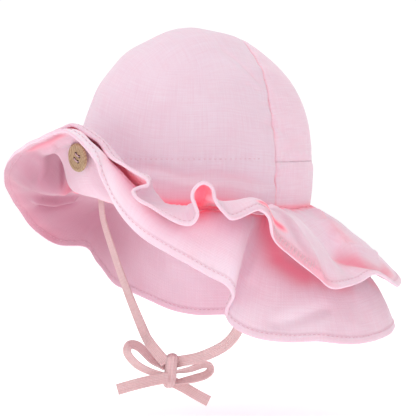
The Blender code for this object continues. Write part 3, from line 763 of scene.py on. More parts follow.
def bumped(tree, shader, height, distance, strength):
    node = tree.nodes.new("ShaderNodeBump")
    set_inputs(node, {"Distance": distance, "Strength": strength})
    tree.links.new(height, node.inputs["Height"])
    tree.links.new(node.outputs[0], shader.inputs["Normal"])


def uv_node(tree, label):
    node = tree.nodes.new("ShaderNodeUVMap")
    node.uv_map = label
    return node.outputs[0]


def amount_node(tree, name):
    """A named amount of the mesh's vertices."""
    node = tree.nodes.new("ShaderNodeAttribute")
    node.attribute_name = name
    return node.outputs["Fac"]


def translucent(shader, radius, scale):
    """Light that goes a little way into the cloth."""
    set_inputs(shader, {"Subsurface Weight": CLOTH_THROUGH, "Subsurface Radius": radius,
                        "Subsurface Scale": scale})


# colours
PINK_LIGHT = (0.910, 0.690, 0.785, 1.0)
PINK_DEEP = (0.870, 0.585, 0.690, 1.0)
PINK_THREAD = (0.86, 0.50, 0.60, 1.0)
TAPE_LIGHT = (0.88, 0.64, 0.64, 1.0)
TAPE_DEEP = (0.75, 0.50, 0.505, 1.0)
# the front panel's cooler, greyer pinks: painted cool light falling on it
COOL_LIT_PINK = (0.845, 0.675, 0.765, 1.0)
COOL_LIT_DEEP = (0.810, 0.582, 0.682, 1.0)
# painted glow: a deep pink that also glows, for the shade in hollows and for light bounced between
# and passed through the folds
PAINTED_GLOW_PINK = (0.93, 0.10, 0.17, 1.0)
# painted shade: a darker, duller pink
PAINTED_SHADE_PINK = (0.50, 0.20, 0.28, 1.0)
# painted light: a paler pink
PAINTED_LIGHT_PINK = (0.96, 0.84, 0.92, 1.0)
BLACK = (0.0, 0.0, 0.0, 1.0)
OVERLOCK_THREAD = (0.88, 0.56, 0.63, 1.0)
BUTTON_SEWING = (0.74, 0.50, 0.56, 1.0)
# painted shade: near-black walls of the button's holes
HOLE_PAINTED_SHADE = (0.09, 0.035, 0.03, 1.0)
# how strongly the painted glow shines, though the cloth is no lamp
PAINTED_GLOW_POWER = 0.40
WOOD_LIGHT = (0.56, 0.40, 0.25, 1.0)
WOOD_DARK = (0.33, 0.20, 0.11, 1.0)
COTTON_ROUGH, COTTON_SHEEN = 0.92, 0.30
TAPE_ROUGH, TAPE_SHEEN = 0.85, 0.25
CLOTH_THROUGH = 0.15                     # share of the light that goes into the cloth,
COTTON_DEPTH = ((1.0, 0.32, 0.42), 0.0035)       # and how deep: red, green, blue, and metres
TAPE_DEPTH = ((1.0, 0.5, 0.5), 0.002)
TAPE_PITCH = 0.0005      # pitch of the threads across the tape
SLUBS = (900.0, 42.0)    # uneven threads to a metre: across the thread and along it
THREAD_TWIST = 2600.0    # unevenness of a sewing thread to a metre
THREAD_SHADE = 0.78      # its darkest colour, share of the full one
WOOD_RING = 0.0016       # pitch of the wood's rings
WOOD_BEND = (90.0, 260.0, 90.0)          # unevenness to a metre: of the rings,
WOOD_FIBRE = (3200.0, 260.0, 900.0)      # and of the fibres


def cotton(name, weave, shade, crown=False, hem=False, cool_lit=False):
    """Double cotton: plain weave with slubs, washed shade, a deeper tone along the hem, and painted
    glow, painted shade and painted light by the mesh's amounts; a cooler, greyer pair of pinks
    paints cool light on the front panel.
    """
    m, tree, shader = new_material(name, PINK_LIGHT, COTTON_ROUGH, COTTON_SHEEN)
    cloth = group_node(tree, weave, Vector=uv_node(tree, "cloth"))
    tone, height = cloth.outputs["Tone"], cloth.outputs["Height"]
    if crown:
        over = group_node(tree, weave, Vector=uv_node(tree, "top"))
        share = amount_node(tree, "top_share")
        for first in ("Tone", "Height"):
            gap = sum_node(tree, "SUBTRACT", over.outputs[first], cloth.outputs[first])
            mixed = sum_node(tree, "MULTIPLY_ADD", gap, share, cloth.outputs[first])
            tone, height = (mixed, height) if first == "Tone" else (tone, mixed)
    washed = group_node(tree, shade, Scale=26.0)
    tone = sum_node(tree, "MULTIPLY_ADD", washed.outputs["Shade"], 0.30, tone)
    tone = sum_node(tree, "SUBTRACT", tone, 0.15)
    if hem:
        split = tree.nodes.new("ShaderNodeSeparateXYZ")
        tree.links.new(uv_node(tree, "cloth"), split.inputs[0])
        inside = sum_node(tree, "ABSOLUTE", split.outputs[1])
        line = sum_node(tree, "ABSOLUTE", sum_node(tree, "SUBTRACT", inside, HEM_FOLD))
        dark, start, full = HEM_MARK
        tone = sum_node(tree, "MULTIPLY_ADD", ramp(tree, line, start, full), dark, tone)
    share = ramp(tree, tone, -0.1, 1.1)
    # the painted glow amount, mixed in last
    painted_glow = amount_node(tree, "painted_glow")
    # the front panel takes the cooler, greyer pinks of painted cool light
    pink = blend_colour(tree, share, *((COOL_LIT_DEEP, COOL_LIT_PINK) if cool_lit else (PINK_DEEP, PINK_LIGHT)))
    # painted light: paler where light falls
    pink = blend_colour(tree, amount_node(tree, "painted_light"), pink, PAINTED_LIGHT_PINK)
    # painted shade: darker and duller
    pink = blend_colour(tree, amount_node(tree, "painted_shade"), pink, PAINTED_SHADE_PINK)
    pink = blend_colour(tree, painted_glow, pink, PAINTED_GLOW_PINK)
    tree.links.new(pink, shader.inputs["Base Color"])
    # the painted glow also shines as emission
    tree.links.new(blend_colour(tree, painted_glow, BLACK, PAINTED_GLOW_PINK), shader.inputs["Emission Color"])
    shader.inputs["Emission Strength"].default_value = PAINTED_GLOW_POWER
    translucent(shader, *COTTON_DEPTH)
    bumped(tree, shader, height, 0.00018, 0.55)
    return m


def tape_stuff(weave, shade):
    """Ribbed tape: ribs run along it and fine threads cross them."""
    m, tree, shader = new_material("tie_tape", TAPE_LIGHT, TAPE_ROUGH, TAPE_SHEEN)
    uv = uv_node(tree, "cloth")
    cloth = group_node(tree, weave, Vector=uv, Pitch=TAPE_PITCH)
    split = tree.nodes.new("ShaderNodeSeparateXYZ")
    tree.links.new(uv, split.inputs[0])
    rib = sum_node(tree, "COSINE", sum_node(tree, "MULTIPLY", split.outputs[1],
                                            2 * math.pi / TAPE_RIB))
    washed = group_node(tree, shade, Scale=60.0)
    tone = sum_node(tree, "MULTIPLY_ADD", rib, 0.26, cloth.outputs["Tone"])
    tone = sum_node(tree, "MULTIPLY_ADD", washed.outputs["Shade"], 0.2, tone)
    share = ramp(tree, tone, 0.0, 1.2)
    tree.links.new(blend_colour(tree, share, TAPE_DEEP, TAPE_LIGHT), shader.inputs["Base Color"])
    translucent(shader, *TAPE_DEPTH)
    height = sum_node(tree, "MULTIPLY_ADD", rib, 0.8, cloth.outputs["Height"])
    bumped(tree, shader, height, 0.0002, 0.7)
    return m


def thread_stuff(name, colour):
    """Sewing thread: a fine twist along each stitch."""
    m, tree, shader = new_material(name, colour, 0.7, 0.2)
    place = tree.nodes.new("ShaderNodeTexCoord")
    twist = noise_node(tree, place.outputs["Object"], THREAD_TWIST, 1.0)
    dark = tuple(c * THREAD_SHADE for c in colour[:3]) + (1.0,)
    tree.links.new(blend_colour(tree, ramp(tree, twist, 0.35, 0.65), dark, colour),
                   shader.inputs["Base Color"])
    bumped(tree, shader, twist, 0.0001, 0.5)
    return m


def wood_stuff(middle, x, y, n):
    """Wood with rings: its distance from a far heart is bent by noise and waved."""
    m, tree, shader = new_material("button_wood", WOOD_LIGHT, 0.55)
    place = tree.nodes.new("ShaderNodeTexCoord").outputs["Object"]
    shift = vector_node(tree, "SUBTRACT", place, middle).outputs[0]
    frame_axes = [vector_node(tree, "DOT_PRODUCT", shift, way).outputs["Value"]
                  for way in (x, y, n)]
    local = tree.nodes.new("ShaderNodeCombineXYZ")
    for socket, value in zip(local.inputs, frame_axes):
        tree.links.new(value, socket)
    bend = noise_node(tree, scaled(tree, local.outputs[0], *WOOD_BEND), 1.0, 2.0)
    lines = sum_node(tree, "MULTIPLY_ADD", bend, 0.0035, frame_axes[0])
    rings = sum_node(tree, "SINE", sum_node(tree, "MULTIPLY", lines, 2 * math.pi / WOOD_RING))
    fibre = noise_node(tree, scaled(tree, local.outputs[0], *WOOD_FIBRE), 1.0, 3.0)
    tone = sum_node(tree, "MULTIPLY_ADD", rings, 0.16, fibre)
    share = ramp(tree, tone, 0.25, 0.75)
    tree.links.new(blend_colour(tree, share, WOOD_DARK, WOOD_LIGHT), shader.inputs["Base Color"])
    bumped(tree, shader, tone, 0.0001, 0.5)
    return m


def along_lines(turn, share, long, rows, names, name):
    """For each row a hill over the line between its two places, as high as a named column says.

    Distances are in metres: a degree of turn is A_DEGREE, the way from seam to hem is long."""
    hills = []
    for row, high in zip(rows, column(rows, names, name)):
        t0, s0, t1, s1, wide = row[:len(LINE_COLUMNS)]
        ax, ay = (np.mod(turn - t0 + 180, 360) - 180) * A_DEGREE, (share - s0) * long
        bx, by = (t1 - t0) * A_DEGREE, (s1 - s0) * long
        part = np.clip((ax * bx + ay * by) / (bx * bx + by * by), 0, 1)
        hills.append(hill(np.hypot(ax - part * bx, ay - part * by), wide * 0.001) * high)
    return np.array(hills)


def fold_relief(turn, share, long, rows):
    """The highest ridge and the deepest valley among the folds, added."""
    high = along_lines(turn, share, long, rows, FOLD_COLUMNS, "high") * 0.001
    return np.max(np.maximum(high, 0), 0) + np.min(np.minimum(high, 0), 0)


def tint_of(turn, share, long, rows, face):
    """The strongest amount from one table of painted glow, painted shade or painted light, at each
    place of the upper or the under face.
    """
    return np.max(along_lines(turn, share, long, rows, TINT_COLUMNS, face), 0)


def set_share(obj, name, values):
    """A named amount at each vertex, held to 0..1."""
    mark = obj.data.attributes.new(name, "FLOAT", "POINT")
    mark.data.foreach_set("value", np.clip(values, 0, 1).reshape(-1).astype(np.float32))


# crown
def crown_reach(turn, up, inset=0.0):
    """The wall's distance from the axis: an ellipse times (1 - u^round)^fall."""
    u = np.clip(up / CROWN_TALL, 0.0, 1.0)
    tuck = 1 - RIM_TUCK * np.clip(1 - u / RIM_TUCK_TO, 0, 1) ** 2
    t = np.radians(turn)
    wide, long = HALF_WIDE - inset, HALF_LONG - inset
    return ((1 - u**CROWN_ROUND) ** CROWN_FALL * tuck
            / np.sqrt((np.sin(t) / wide) ** 2 + (np.cos(t) / long) ** 2))


def crown_point(turn, level):
    """The crown's outer face: level 0 is the lower edge and level 1 the top."""
    low = round_table(RIM, RIM_COLUMNS, "edge", turn) * DROP
    up = low + (CROWN_TALL - low) * (1 - (1 - level) ** 2)
    p = at(turn, crown_reach(turn, up), up)
    p[..., 1] += CROWN_SWELL * np.sin(np.pi * np.clip(up / CROWN_TALL, 0, 1))
    return p


def crease_depth(turn, up, rows):
    """Sum of valleys, each a hill across the line between its two ends, fading past them."""
    total = 0.0
    for t0, h0, t1, h1, wide, deep in rows:
        s = (turn - t0) / (t1 - t0)
        middle = h0 + (h1 - h0) * s + 0.0015 * np.sin(s * 5.0)
        fade = step(s, -0.25, 0.25) * (1 - step(s, 0.75, 1.25))
        across = (up - middle) / (wide * 0.001)
        total = total + deep * 0.001 * fade * (hill(across, 1.0) - 0.55 * hill(across + 1.7, 1.3))
    return total


def crown_relief(p, turn):
    """How far the cloth stands off the plain crown: seams draw in, puckers run across them."""
    x, y, z = p[..., 0], p[..., 1], p[..., 2]
    from_seam = y - OVER_SEAM
    rear = step(from_seam, -0.0004, 0.0004)
    relief = -SEAM_DEEP * hill(from_seam, SEAM_SOFT)
    relief += 0.0004 * hill(from_seam - 0.0035, 0.0025)
    relief += 0.00055 * waves(z, x * 0.4, *SEAM_PUCKERS) * hill(from_seam, 0.009)
    relief += 0.0009 * waves(z, x * 0.4, *BROAD_PUCKERS) * hill(from_seam, 0.022)
    relief -= rear * SEAM_DEEP * hill(z - BAND_TOP, SEAM_SOFT)
    along = turn * 0.0013
    relief += rear * 0.0005 * waves(along, z, *BAND_PUCKERS) * hill(z - BAND_TOP, 0.012)
    from_stitch = z - CROWN_STITCH
    relief -= (1 - rear) * 0.00035 * hill(from_stitch, 0.0010)
    relief += 0.00022 * waves(along, z * 0.2, *STITCH_PUCKERS) * hill(from_stitch, 0.004)
    relief += 0.0009 * waves(x, z + y * 0.5, *CROWN_WAVES) * step(z, 0.0, 0.03)
    relief += 0.0011 * hill(z - 0.012, 0.009) * (1 - rear)
    return relief - crease_depth(turn, z, CREASES)


def crown_painted_glow(p, turn):
    """Painted glow on the crown: pinker low down behind the ruffle, for shade and light bounced off
    it, and in its creases and along its seams, for the shade there.
    """
    z, from_seam = p[..., 2], p[..., 1] - OVER_SEAM
    amount, bottom, top = LOW_PAINTED_GLOW
    low = amount * (1 - step(z, bottom, top)) * step(turn, 10, 40) * (1 - step(turn, 70, 110))
    rear = step(from_seam, -0.0004, 0.0004)
    amount, wide = PANEL_PAINTED_GLOW
    seams = amount * hill(from_seam, wide) + amount * rear * hill(z - BAND_TOP, wide)
    amount, over, wide = RUFFLE_SEAM_PAINTED_GLOW
    seams = seams + amount * hill(z - ruffle_seam(turn) - over, wide)
    return low + seams + CREASE_PAINTED_GLOW * np.maximum(crease_depth(np.abs(turn), z, CREASES), 0)


def crown_sheet(turns, levels):
    """The whole crown as an open sheet: its face moved along its normals by the relief."""
    turn = (np.arange(turns) * 360.0 / turns)[:, None]
    level = np.linspace(0, 1, levels + 1)[None, :-1]
    level = np.concatenate((level, [[CROWN_END]]), 1)
    p = crown_point(turn, level)
    n = grid_normals(p, True)
    wrapped = np.mod(turn + 180.0, 360.0) - 180.0
    p = p + n * crown_relief(p, np.abs(wrapped) + 0 * level)[..., None]
    down = np.cumsum(np.linalg.norm(np.diff(p, axis=1, prepend=p[:, :1]), axis=2), axis=1)
    ends = np.concatenate((turn, turn[:1] + 360.0))
    again = np.arange(turns + 1) % turns
    wall = np.stack((np.radians(ends) * MEAN_RADIUS + 0 * level, down[again]), -1)
    flat = p[again][..., :2]
    painted_glow = crown_painted_glow(p, wrapped + 0 * level)
    return p, wall, flat, painted_glow


def crown_panel(name, sheet, cuts, stuff, node):
    """The part of the crown inside some planes, given a wall inwards."""
    p, wall, flat, painted_glow = sheet
    obj = grid_mesh(name, p, wall, True, False, stuff, flat)
    set_share(obj, "top_share", step(p[..., 2], *TOP_WEAVE))
    # painted glow for the crown's shade and bounced light
    set_share(obj, "painted_glow", painted_glow)
    bm = bmesh.new()
    bm.from_mesh(obj.data)
    top = [e for e in bm.edges if e.is_boundary and e.verts[0].co.z > CROWN_TALL * 0.8]
    bmesh.ops.holes_fill(bm, edges=top)
    for place, way in cuts:
        parts = bm.verts[:] + bm.edges[:] + bm.faces[:]
        bmesh.ops.bisect_plane(bm, geom=parts, plane_co=place, plane_no=way, clear_outer=True)
    for face in bm.faces:
        face.smooth = True
    bm.to_mesh(obj.data)
    bm.free()
    wall_of = obj.modifiers.new("wall", "SOLIDIFY")
    wall_of.thickness = CLOTH
    wall_of.offset = -1.0
    wall_of.use_quality_normals = True
    return placed(obj, "cotton", node)


# flounces
def flap_seam(turn):
    rise = round_table(FLAP_BEND, BEND_COLUMNS, "rise", turn)
    sink = STEEP_SINK * np.clip(rise / STEEP_RISE, 0, 1)
    return round_table(RIM, RIM_COLUMNS, "edge", turn) * DROP - GAP - CLOTH * (0.5 + sink)


def ruffle_seam(turn):
    return round_table(RIM, RIM_COLUMNS, "seam", turn) * DROP


def flounce_rows(rows, steps):
    table = np.stack([column(rows, FLOUNCE_COLUMNS, n) for n in FLOUNCE_COLUMNS], -1)
    return through(table, steps, True, np.array([360.0, 360.0, 0.0, 0.0]))


def flounce_points(stations, bend, seam_out, seam_up, share):
    """Middle surface of a flounce: a cubic from the seam to the hem at each station."""
    turn, hem_turn, reach, hem = stations.T
    out, rise, back, lift = (round_table(bend, BEND_COLUMNS, n, turn) for n in BEND_COLUMNS[1:])
    up = seam_up(turn)
    start = crown_reach(turn, up) + seam_out
    swing = (hem_turn - turn) * TURN_BLEND
    p0 = at(turn, start, up)[:, None]
    p1 = at(turn + swing, start + out * BRIM, up + rise * DROP)[:, None]
    p2 = at(hem_turn - swing, (reach - back) * BRIM, (hem + lift) * DROP)[:, None]
    p3 = at(hem_turn, reach * BRIM, hem * DROP)[:, None]
    s = np.asarray(share, float)[None, :, None]
    return (1 - s)**3 * p0 + 3 * s * (1 - s)**2 * p1 + 3 * s * s * (1 - s) * p2 + s**3 * p3


def flap_points(stations, share):
    return flounce_points(stations, FLAP_BEND, 0.0, flap_seam, share)


def ruffle_points(stations, share):
    return flounce_points(stations, RUFFLE_BEND, CLOTH / 2 + GAP, ruffle_seam, share)


def by_length(curves, near_hem, down):
    """Each curve read again at even distances, and at set distances before its end."""
    piece = np.linalg.norm(np.diff(curves, axis=1), axis=2)
    run = np.concatenate((np.zeros((len(curves), 1)), np.cumsum(piece, 1)), 1)
    total = run[:, -1:]
    far = (total - near_hem[0]) * np.linspace(0, 1, down, endpoint=False)
    target = np.concatenate((far, total - near_hem), 1)
    k = np.sum(run[:, None, 1:-1] <= target[:, :, None], -1)
    a, b = np.take_along_axis(run, k, 1), np.take_along_axis(run, k + 1, 1)
    s = ((target - a) / (b - a))[..., None]
    pa = np.take_along_axis(curves, k[..., None], 1)
    pb = np.take_along_axis(curves, k[..., None] + 1, 1)
    return pa + (pb - pa) * s, total - target, target


def flounce_relief(u, hem_in, seam_in, seed, gather, ripple):
    """Gathers that die away from the seam, broad soft waves, and the hem's slight waviness."""
    relief = gather * waves(u, seam_in * 0.15, seed, 0.006, 0.016) * hill(seam_in, 0.016)
    relief += gather * 0.8 * waves(u, seam_in * 0.3, seed + 1, 0.014, 0.034) * hill(seam_in, 0.040)
    relief += ripple * waves(u, seam_in, seed + 2, 0.022, 0.060) * step(seam_in, 0.004, 0.02)
    at_fold = hill(hem_in - HEM_FOLD, 0.003)
    relief += 0.00022 * waves(u, hem_in * 0.1, seed + 3, 0.0035, 0.007) * at_fold
    return relief


def flounce_cloth(middle, hem_in, relief):
    """Both faces of the cloth and its rounded hem as one closed grid, with its uv.

    The middle surface moves along its normals by the relief; each face lies half a wall off it,
    thicker within the turned hem and drawn in at the stitch line; the edge is a half circle."""
    n = grid_normals(middle, True)
    middle = middle + n * relief[..., None]
    n = grid_normals(middle, True)
    in_hem = 1 - step(hem_in, HEM_FOLD - 0.0003, HEM_FOLD + 0.0004)
    thick = CLOTH * (1 + HEM_THICKER * in_hem)
    thick = thick - 0.00045 * hill(hem_in - STITCH_IN, 0.00045)
    half = (thick / 2)[..., None]
    end = unit(middle[:, -1] - middle[:, -2])[:, None]
    angle = np.radians(np.array(EDGE_ANGLES))[None, :, None]
    edge = middle[:, -1:] + half[:, -1:] * (n[:, -1:] * np.sin(angle) + end * np.cos(angle))
    grid = np.concatenate((middle + n * half, edge, (middle - n * half)[:, ::-1]), 1)
    hem_line = middle[:, -1]
    u = run_of(np.concatenate((hem_line, hem_line[:1])))
    zero = np.zeros((len(middle), edge.shape[1]))
    v = np.concatenate((hem_in, zero, -hem_in[:, ::-1], -hem_in[:, :1]), 1)
    v = np.concatenate((v, v[:1]))
    uv = np.stack((u[:, None] + 0 * v, v), -1)
    return grid, uv, middle, n, half[..., 0]


# sewing
def stitches(name, path, normal, stuff, long=STITCH_LONG, space=STITCH_SPACE,
             thick=STITCH_THICK, closed=True):
    """A row of stitches: at even steps along a path, a short thread that rises and dips."""
    if closed:
        path = np.concatenate((path, path[:1]))
        normal = np.concatenate((normal, normal[:1]))
    steps, sides = STITCH_STEPS, STITCH_SIDES
    run = run_of(path)
    count = int(run[-1] / (long + space))
    start = np.arange(count) * run[-1] / count
    share = np.linspace(0, 1, steps + 1)
    where = start[:, None] + share[None, :] * long
    p = read_at(path, run, where)
    n = unit(read_at(normal, run, where))
    along = unit(np.gradient(p, axis=1))
    side = unit(np.cross(along, n))
    swell = np.sqrt(np.clip(1 - (2 * share - 1) ** 4, 0.05, 1))[None, :, None, None]
    rise = (thick * (0.75 * np.sin(np.pi * share) ** 0.5 - 0.35))[None, :, None]
    centre = p + n * rise
    a = round_angles(sides)
    ring = (np.cos(a)[:, None] * side[:, :, None] + np.sin(a)[:, None] * n[:, :, None])
    v = (centre[:, :, None] + ring * swell * thick / 2).reshape(-1, 3)
    base = (np.arange(count) * (steps + 1) * sides)[:, None, None]
    j = np.arange(sides)[None, None, :]
    low = base + (np.arange(steps) * sides)[None, :, None]
    high, beside = low + sides, (j + 1) % sides
    quads = np.stack((low + j, low + beside, high + beside, high + j), -1)
    caps = np.arange(sides)[None, :] + base[:, 0]
    faces = (quads.reshape(-1, 4).tolist() + caps[:, ::-1].tolist()
             + (caps + steps * sides).tolist())
    mesh = bpy.data.meshes.new(name)
    mesh.from_pydata(v.tolist(), [], faces)
    bm = bmesh.new()
    bm.from_mesh(mesh)
    bmesh.ops.recalc_face_normals(bm, faces=bm.faces)
    for face in bm.faces:
        face.smooth = len(face.verts) == 4
    bm.to_mesh(mesh)
    bm.free()
    mesh.materials.append(stuff)
    return placed(linked(name, mesh), "cotton")


def line_at(values, hem_in, distance):
    """The grid's values read at one distance from the hem, for every row."""
    k = np.argmax(hem_in <= distance, axis=1)[:, None]
    a, b = np.take_along_axis(hem_in, k - 1, 1), np.take_along_axis(hem_in, k, 1)
    s = ((a - distance) / (a - b))[..., None]
    va = np.take_along_axis(values, (k - 1)[..., None], 1)
    vb = np.take_along_axis(values, k[..., None], 1)
    return (va + (vb - va) * s)[:, 0]


def hem_stitches(name, made, hem_in, distance, side, stuff):
    """Stitches on one face of a flounce at a distance from its edge."""
    _, _, middle, n, half = made
    face = middle + n * (half * side)[..., None]
    path, normal = (line_at(values, hem_in, distance) for values in (face, n * side))
    return stitches(name, path, normal, stuff)


def overlock(name, made, hem_in, turn, stuff):
    """The zigzag thread over the ruffle's neatened edge, on its upper face between two turns."""
    _, _, middle, n, half = made
    face = middle - n * half[..., None]
    kept = (turn[:, 0] > OVERLOCK_FROM) & (turn[:, 0] < OVERLOCK_TO)
    path = np.stack([line_at(face, hem_in, d)[kept] for d in OVERLOCK_IN], 1).reshape(-1, 3)
    normal = np.repeat(line_at(-n, hem_in, OVERLOCK_IN[0])[kept], 2, axis=0)
    return stitches(name, path, normal, stuff, OVERLOCK_LONG, OVERLOCK_SPACE, OVERLOCK_THICK, False)


# ties and bow
def tape(name, line, across, stuff, node):
    """A flat tape along a line. Its section is a flattened ring with a bead along each edge."""
    along = unit(np.gradient(line, axis=0))
    across = unit(across - along * np.sum(across * along, axis=1, keepdims=True))
    flat = np.cross(along, across)
    a = round_angles(TAPE_SIDES)
    x = squared(np.cos(a), TAPE_SQUARE)
    bead = 0.72 + 0.28 * hill(np.abs(x) - 0.80, 0.16) + 0.12 * hill(x, 0.2)
    y = squared(np.sin(a), TAPE_SQUARE) * bead
    grid = (line[:, None] + across[:, None] * (x * TAPE_WIDE / 2)[None, :, None]
            + flat[:, None] * (y * TAPE_THICK / 2)[None, :, None])
    run = run_of(line)
    v = np.concatenate((x, x[:1])) * TAPE_WIDE / 2
    uv = np.stack((run[:, None] + 0 * v, v + 0 * run[:, None]), -1)
    obj = grid_mesh(name, grid, uv, False, True, stuff)
    return placed(fill_ends(obj), "tape", node)


def run_on(rows, first, last):
    """Rows with a further point past either end, in line with the last two, by a share of them."""
    rows = np.array(rows, float)
    before = [rows[0] + (rows[0] - rows[1]) * first] if first else []
    after = [rows[-1] + (rows[-1] - rows[-2]) * last] if last else []
    return np.concatenate((np.array(before).reshape(-1, 4), rows, np.array(after).reshape(-1, 4)))


def tie_line(rows, steps):
    q = through(rows, steps, False)
    line = np.stack((q[:, 0] * HALF_WIDE, -q[:, 1] * HALF_WIDE, q[:, 2] * CHIN), -1)
    face = np.radians(q[:, 3])
    flat = np.stack((np.sin(face), -np.cos(face), 0 * face), -1)
    return line, np.cross(flat, unit(np.gradient(line, axis=0)))


def bow_frame():
    t = math.radians(BOW_TURN)
    middle = np.array((KNOT_SIDE * HALF_WIDE, -KNOT_FORE * HALF_WIDE, KNOT_UP * CHIN))
    return (middle, np.array((math.cos(t), math.sin(t), 0.0)), np.array((0.0, 0.0, 1.0)),
            np.array((math.sin(t), -math.cos(t), 0.0)))


def bow_line(rows, steps):
    q = through(rows, steps, False)
    middle, across, up, near = bow_frame()
    line = middle + BOW * (q[:, :1] * across + q[:, 1:2] * up + q[:, 2:3] * near)
    along = unit(np.gradient(line, axis=0))
    lay = np.radians(q[:, 3:4])
    return line, np.cos(lay) * near + np.sin(lay) * np.cross(near, along)


def knot_cloth(stuff):
    """The band round the bow: a standing squared roll, with folds along it and a waist."""
    middle, across, up, near = bow_frame()
    h = -np.cos(np.linspace(0, math.pi, KNOT_LEVELS))[1:-1]
    a = round_angles(KNOT_SIDES)
    c, s = squared(np.cos(a), KNOT_SQUARE), squared(np.sin(a), KNOT_SQUARE)
    wide = ((1 - np.abs(h) ** KNOT_END) ** 0.5 * (1 - 0.10 * hill(h - 0.1, 0.45)))[:, None]
    fold = 1 + 0.045 * np.cos(a * 9 + 0.8)[None, :] + 0.03 * np.sin(a * 4 + 2.2 * h[:, None])
    fold = fold - 0.10 * hill(np.abs(np.mod(a - 1.1 - 0.5 * h[:, None], 2 * np.pi) - np.pi), 0.12)
    high = (KNOT_TOP + KNOT_LOW) / 2 + h * (KNOT_TOP - KNOT_LOW) / 2
    side = KNOT_LEAN * h[:, None] + KNOT_WIDE * wide * c * fold
    deep = KNOT_DEEP * wide * s * fold
    grid = (middle + BOW * (high[:, None, None] * up + side[..., None] * across
                            + deep[..., None] * near))
    v = np.concatenate((a, [2 * np.pi])) * KNOT_WIDE * BOW
    uv = np.stack((high[:, None] * BOW + 0 * v, v + 0 * high[:, None]), -1)
    return placed(fill_ends(grid_mesh("knot_cloth", grid, uv, False, True, stuff)), "tape",
                  "bow_knot")


# button
def button_frame():
    """The middle of the button's back, its three directions, and its stand off the cloth."""
    table = np.array(FLAP, float)
    place = BUTTON_ROW + np.array((-BUTTON_ROWS, 0.0, BUTTON_ROWS))
    index = np.arange(len(table))
    before, here, after = np.stack([np.interp(place, index, c) for c in table.T], -1)
    stations = np.stack((before, (before + here) / 2, here, (here + after) / 2, after))
    p = flap_points(stations, BUTTON_SHARE + BUTTON_SPAN * np.linspace(-1, 1, 5))
    middle = p[2, 2]
    normal = unit(np.cross(p[-1, 2] - p[0, 2], p[2, -1] - p[2, 0]))
    if normal[1] > 0:
        normal = -normal
    up_way = p[2, -1] - p[2, 0]
    up_way = unit(up_way - normal * np.dot(up_way, normal))
    lean, spin = math.radians(BUTTON_LEAN), math.radians(BUTTON_SPIN)
    normal, up_way = (normal * math.cos(lean) + up_way * math.sin(lean),
                      up_way * math.cos(lean) - normal * math.sin(lean))
    x = np.cross(up_way, normal)
    x, y = (x * math.cos(spin) - up_way * math.sin(spin),
            up_way * math.cos(spin) + x * math.sin(spin))
    flat = p - middle - ((p - middle) @ normal)[..., None] * normal
    near = np.linalg.norm(flat, axis=-1) < BUTTON_ACROSS * SEAT_REACH
    stand = max(np.max(((p - middle) @ normal)[near]), THREAD_THICK + GAP)
    lift = stand + CLOTH / 2 + GAP
    return middle + normal * lift, x, y, normal, stand


def turned(name, seat, profile, centre, sides, stuff):
    """A turned solid: rings of (radius, height) over the button's frame, closed at both ends."""
    middle, x, y, n, _ = seat
    t = np.arange(sides) * 2 * np.pi / sides
    ring = np.cos(t)[:, None] * x + np.sin(t)[:, None] * y
    base = middle + centre[0] * x + centre[1] * y
    radius, height = np.array(profile).T
    grid = base + ring[None] * radius[:, None, None] + (n * height[:, None])[:, None]
    uv = np.zeros((len(radius), sides + 1, 2))
    return fill_ends(grid_mesh(name, grid, uv, False, True, stuff))


def wooden_button(seat, stuff, hole_shade):
    """A turned disc with a rounded rim and a dished face, pierced by four holes whose walls are
    painted near-black shade.
    """
    r, t, d = BUTTON_ACROSS / 2, BUTTON_THICK, BUTTON_DISH
    a = np.radians(np.linspace(-90, 90, 13))
    rim = [(r - BUTTON_ROUND + BUTTON_ROUND * math.cos(k), t / 2 + t / 2 * math.sin(k)) for k in a]
    dish = [(r * share, t - d * deep) for share, deep in BUTTON_FACE]
    plate = turned("wooden_button", seat, [(r * 0.02, 0.0), (r * 0.5, 0.0)] + rim + dish, (0, 0),
                   BUTTON_SIDES, stuff)
    h = HOLE_SPACING / 2
    k = HOLE_ACROSS / 2
    for x, y in ((-h, -h), (h, -h), (h, h), (-h, h)):
        lip = [(k + out, t - d + high) for out, high in HOLE_LIP]
        pin = turned("hole", seat, [(k, -t)] + lip + [(lip[-1][0], 2 * t)], (x, y), HOLE_SIDES,
                     hole_shade)
        cut = plate.modifiers.new("hole", "BOOLEAN")
        cut.material_mode = "TRANSFER"
        cut.operation = "DIFFERENCE"
        cut.solver = "EXACT"
        cut.object = pin
        bpy.context.view_layer.update()
        graph = bpy.context.evaluated_depsgraph_get()
        mesh = bpy.data.meshes.new_from_object(plate.evaluated_get(graph))
        plate.modifiers.clear()
        plate.data = mesh
        bpy.data.objects.remove(pin, do_unlink=True)
    mesh.shade_smooth()
    mesh.set_sharp_from_angle(angle=math.radians(40))
    return placed(plate, "wood", "button")


